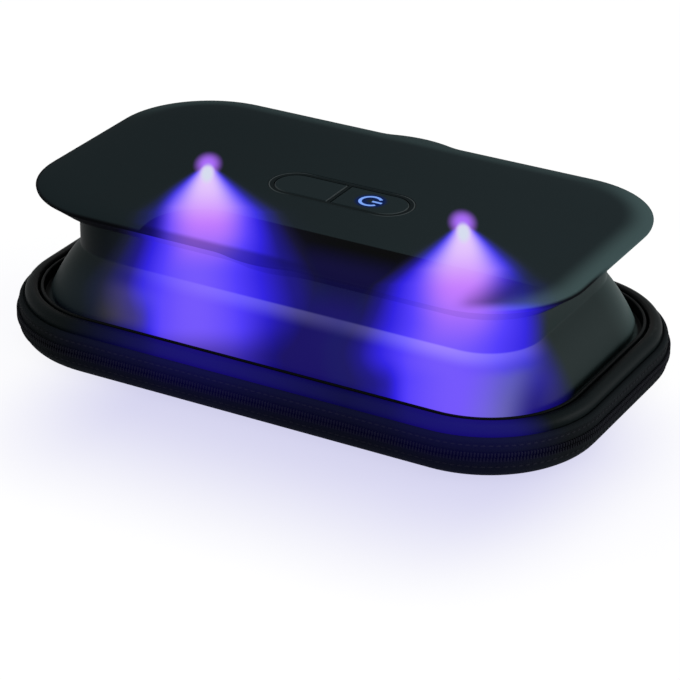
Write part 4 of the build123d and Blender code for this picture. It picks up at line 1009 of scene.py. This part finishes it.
class CASE_OT_control(bpy.types.Operator):
    """Pill-shaped control: bezel, blank half, power key and its lit symbol"""

    bl_idname = "case.control"
    bl_label = "Control"

    def pill_distance(self, made, x, y):
        """Distance from the middle line of the pill."""
        past = made.above_zero(made.less(made.size(x), (CONTROL.x - CONTROL.y) / 2))
        return made.length(past, y)

    def execute(self, context):
        groove, glint = (0.004, 0.0062, 0.0068), (0.046, 0.056, 0.058)
        bezel = moulded("control_bezel", colours().lid, 0.62, specular=0.006)
        x, y, _ = bezel.axes()
        edge = bezel.less(CONTROL.y / 2, self.pill_distance(bezel, x, y))
        bezel.darken(bezel.fade(edge, 0.5 * MM, 0.9 * MM, 0.0, 0.8), groove)
        # Painted highlight: a thin pale line inside the outline at the pill's ends.
        rim = bezel.size(bezel.less(edge, 0.5 * MM))
        rim = bezel.window((rim, 0.3 * MM, 0.1 * MM), (bezel.size(x), 0.014, 0.024))
        bezel.darken(rim, glint)
        bezel.dress("control_bezel")

        caps = moulded("control_caps", colours().lid, 0.62, specular=0.006)
        x, y, _ = caps.axes()
        edge = caps.less(CAP_RADIUS, self.pill_distance(caps, x, y))
        # Painted highlights: thin pale lines round the caps' ends and along both sides of the divider.
        arc = caps.window((edge, 0.45 * MM, 0.15 * MM), (caps.size(x), 0.016, 0.024))
        inner = caps.less(caps.size(caps.less(x, DIVIDER)), DIVIDER_HALF)
        caps.darken(caps.most(arc, caps.fade(inner, 0.45 * MM, 0.15 * MM)), glint)
        # Painted glow: near the symbol's ring the key is darker and glows dark blue.
        ring = caps.size(caps.less(caps.length(caps.less(x, SYMBOL_PLACE), y), SYMBOL_RADIUS))
        near = caps.fade(ring, 3.0 * MM, 0.9 * MM)
        caps.darken(near, (0.0004, 0.002, 0.006))
        caps.put(Emission_Color=caps.dimmed((0.0004, 0.008, 0.07), near), Emission_Strength=1.0)
        caps.dress("blank_plate", "power_key")

        symbol = Finish("lit_symbol")
        dim, plain, bright = (rgba([part * gain for part in colours().symbol]) for gain in (0.12, 1.0, 1.12))
        lit = symbol.mix(symbol.noise(symbol.place(), 900.0), plain, bright)
        symbol.put(Base_Color=dim, Roughness=0.5, Specular_IOR_Level=0.05)
        symbol.put(Emission_Color=lit, Emission_Strength=0.95)
        symbol.dress("power_symbol")
        return {"FINISHED"}


class CASE_OT_fittings(bpy.types.Operator):
    """Zip slider, pull, stops and screws"""

    bl_idname = "case.fittings"
    bl_label = "Fittings"

    def execute(self, context):
        enamel = metal("black_enamel", (0.02, 0.02, 0.022), 0.32, 0.6)
        enamel.dress("zip_slider", "zip_pull", "lower_zip_stops", "upper_zip_stops")
        zinc = metal("zinc_plate", (0.42, 0.42, 0.44), 0.35)
        zinc.dress("rim_screws", "neck_screws", "board_screws", "usb_socket")
        metal("blackened_steel", (0.012, 0.013, 0.014), 0.5, 0.4).dress("lid_screws")
        return {"FINISHED"}


class CASE_OT_electronics(bpy.types.Operator):
    """Boards, lamps, reflectors and battery inside the lid"""

    bl_idname = "case.electronics"
    bl_label = "Electronics"

    def execute(self, context):
        board = moulded("solder_mask", (0.01, 0.075, 0.03), 0.35, specular=0.5)
        board.dress("main_board", "usb_board", "led_board_left", "led_board_right")
        moulded("chip_epoxy", (0.012, 0.012, 0.013), 0.5).dress("board_components", "tact_switch")
        metal("foil_pouch", (0.5, 0.5, 0.52), 0.3).dress("battery")
        metal("metallised_cup", (0.8, 0.8, 0.83), 0.12).dress("reflector_left", "reflector_right")
        film = moulded("amber_film", (0.35, 0.14, 0.02), 0.35)
        film.dress("usb_flex", "led_flex_left", "led_flex_right")
        lamp = Finish("lamp_package")
        spark = lamp.noise(lamp.place(), 700.0)
        lamp.put(Base_Color=lamp.mix(spark, (0.5, 0.35, 0.8, 1), (0.6, 0.45, 0.9, 1)))
        lamp.put(Emission_Color=(0.45, 0.12, 1.0, 1), Emission_Strength=6.0)
        lamp.dress("uv_led_left", "uv_led_right")
        glass = Finish("quartz_window")
        smear = glass.noise(glass.place(), 120.0)
        glass.put(Roughness=glass.line(smear, 0.08, 0.02), Transmission_Weight=1.0, IOR=1.46)
        glass.dress("led_window_left", "led_window_right")
        return {"FINISHED"}


class CASE_OT_stage(bpy.types.Operator):
    """Pale floor, soft studio light and the camera"""

    bl_idname = "case.stage"
    bl_label = "Stage"

    def add_floor(self):
        """A floor that keeps the object's shadow and is white to the camera, tinted by the lamps' light."""
        mesh, reach = bpy.data.meshes.new("floor"), FLOOR_REACH
        sides = ((-reach, -reach), (reach, -reach), (reach, reach), (-reach, reach))
        mesh.from_pydata([(*side, -FLOOR_GAP) for side in sides], [], [(0, 1, 2, 3)])
        made = Finish("pale_floor")
        x, y, _ = made.axes()
        away = made.less(made.core_distance(), SHELL_RADIUS)
        front = made.window((y, 0.045, -0.035), (x, -0.1, -0.038, 0.12, 1.0), (x, 0.155, 0.095, 0.2, 1.0))
        tint = made.times(made.fade(away, 0.1, -0.012), front)
        grey = made.mix(tint, (0.8, 0.8, 0.8, 1), (0.7, 0.68, 0.84, 1))
        made.put(Base_Color=grey, Roughness=0.9, Specular_IOR_Level=0.0)
        white = made.mix(tint, (1.03, 1.03, 1.03, 1), (0.675, 0.668, 0.885, 1))
        white = made.add("ShaderNodeEmission", {"Color": white})
        made.show_plainly(made.shader, white, "Material Output", 0.93)
        make_object("floor", mesh, made.material)

    def set_up(self, name, data, place, turn):
        """A lamp or camera in its place."""
        holder = bpy.data.objects.new(name, data)
        holder.location, holder.rotation_euler = place, turn
        bpy.context.scene.collection.objects.link(holder)
        return holder

    def add_world(self, scene):
        """Even light, and a white background where the world itself is seen."""
        world = scene.world = bpy.data.worlds.new("studio")
        world.use_nodes = True
        made = Nodes(world.node_tree)
        ambient = made.tree.nodes["Background"]
        made.feed(ambient.inputs["Color"], (1, 1, 1, 1))
        made.feed(ambient.inputs["Strength"], 0.78)
        plain = made.add("ShaderNodeBackground", {"Color": (1, 1, 1, 1)})
        made.show_plainly(ambient, plain, "World Output")

    def execute(self, context):
        scene = context.scene
        scene.view_settings.view_transform = "Standard"
        self.add_floor()
        self.add_world(scene)
        for name, place, size, power in (
            ("key", (0.25, -0.35, 1.1), 0.8, 3.0),
            ("right_side", (1.2, 0.45, 0.2), 0.5, 15.0),
        ):
            lamp = bpy.data.lights.new(name, "AREA")
            lamp.size, lamp.energy = size, power
            turn = (LIGHT_TARGET - Vector(place)).to_track_quat("-Z", "Y").to_euler()
            self.set_up(name, lamp, place, turn)
        camera = bpy.data.cameras.new("camera")
        camera.lens, camera.sensor_width, camera.clip_start = CAMERA_LENS, CAMERA_WIDTH, CAMERA_START
        turn = [math.radians(angle) for angle in CAMERA_TURN]
        scene.camera = self.set_up("camera", camera, CAMERA_PLACE, turn)
        return {"FINISHED"}


PIECES = (
    CASE_OT_stage,
    CASE_OT_lid_cover,
    CASE_OT_sleeve,
    CASE_OT_shells,
    CASE_OT_zip_teeth,
    CASE_OT_stitching,
    CASE_OT_hinge_strip,
    CASE_OT_control,
    CASE_OT_fittings,
    CASE_OT_electronics,
)


class CASE_PT_panel(bpy.types.Panel):
    """Sizes, colours and one button for each piece"""

    bl_idname = "CASE_PT_panel"
    bl_label = "Sanitizer case"
    bl_space_type = "VIEW_3D"
    bl_region_type = "UI"
    bl_category = "Sanitizer"

    def draw(self, context):
        for group in (context.scene.case_sizes, context.scene.case_colours):
            box = self.layout.box()
            for key in group.__annotations__:
                box.prop(group, key)
        for piece in PIECES:
            self.layout.operator(piece.bl_idname)


CLASSES = (CaseSizes, CaseColours, *PIECES, CASE_PT_panel)


def register():
    for kind in CLASSES:
        bpy.utils.register_class(kind)
    bpy.types.Scene.case_sizes = bpy.props.PointerProperty(type=CaseSizes)
    bpy.types.Scene.case_colours = bpy.props.PointerProperty(type=CaseColours)


def unregister():
    del bpy.types.Scene.case_colours
    del bpy.types.Scene.case_sizes
    for kind in reversed(CLASSES):
        bpy.utils.unregister_class(kind)


def main():
    register()
    for piece in PIECES:
        group, name = piece.bl_idname.split(".")
        getattr(getattr(bpy.ops, group), name)()


if __name__ == "__main__":
    main()
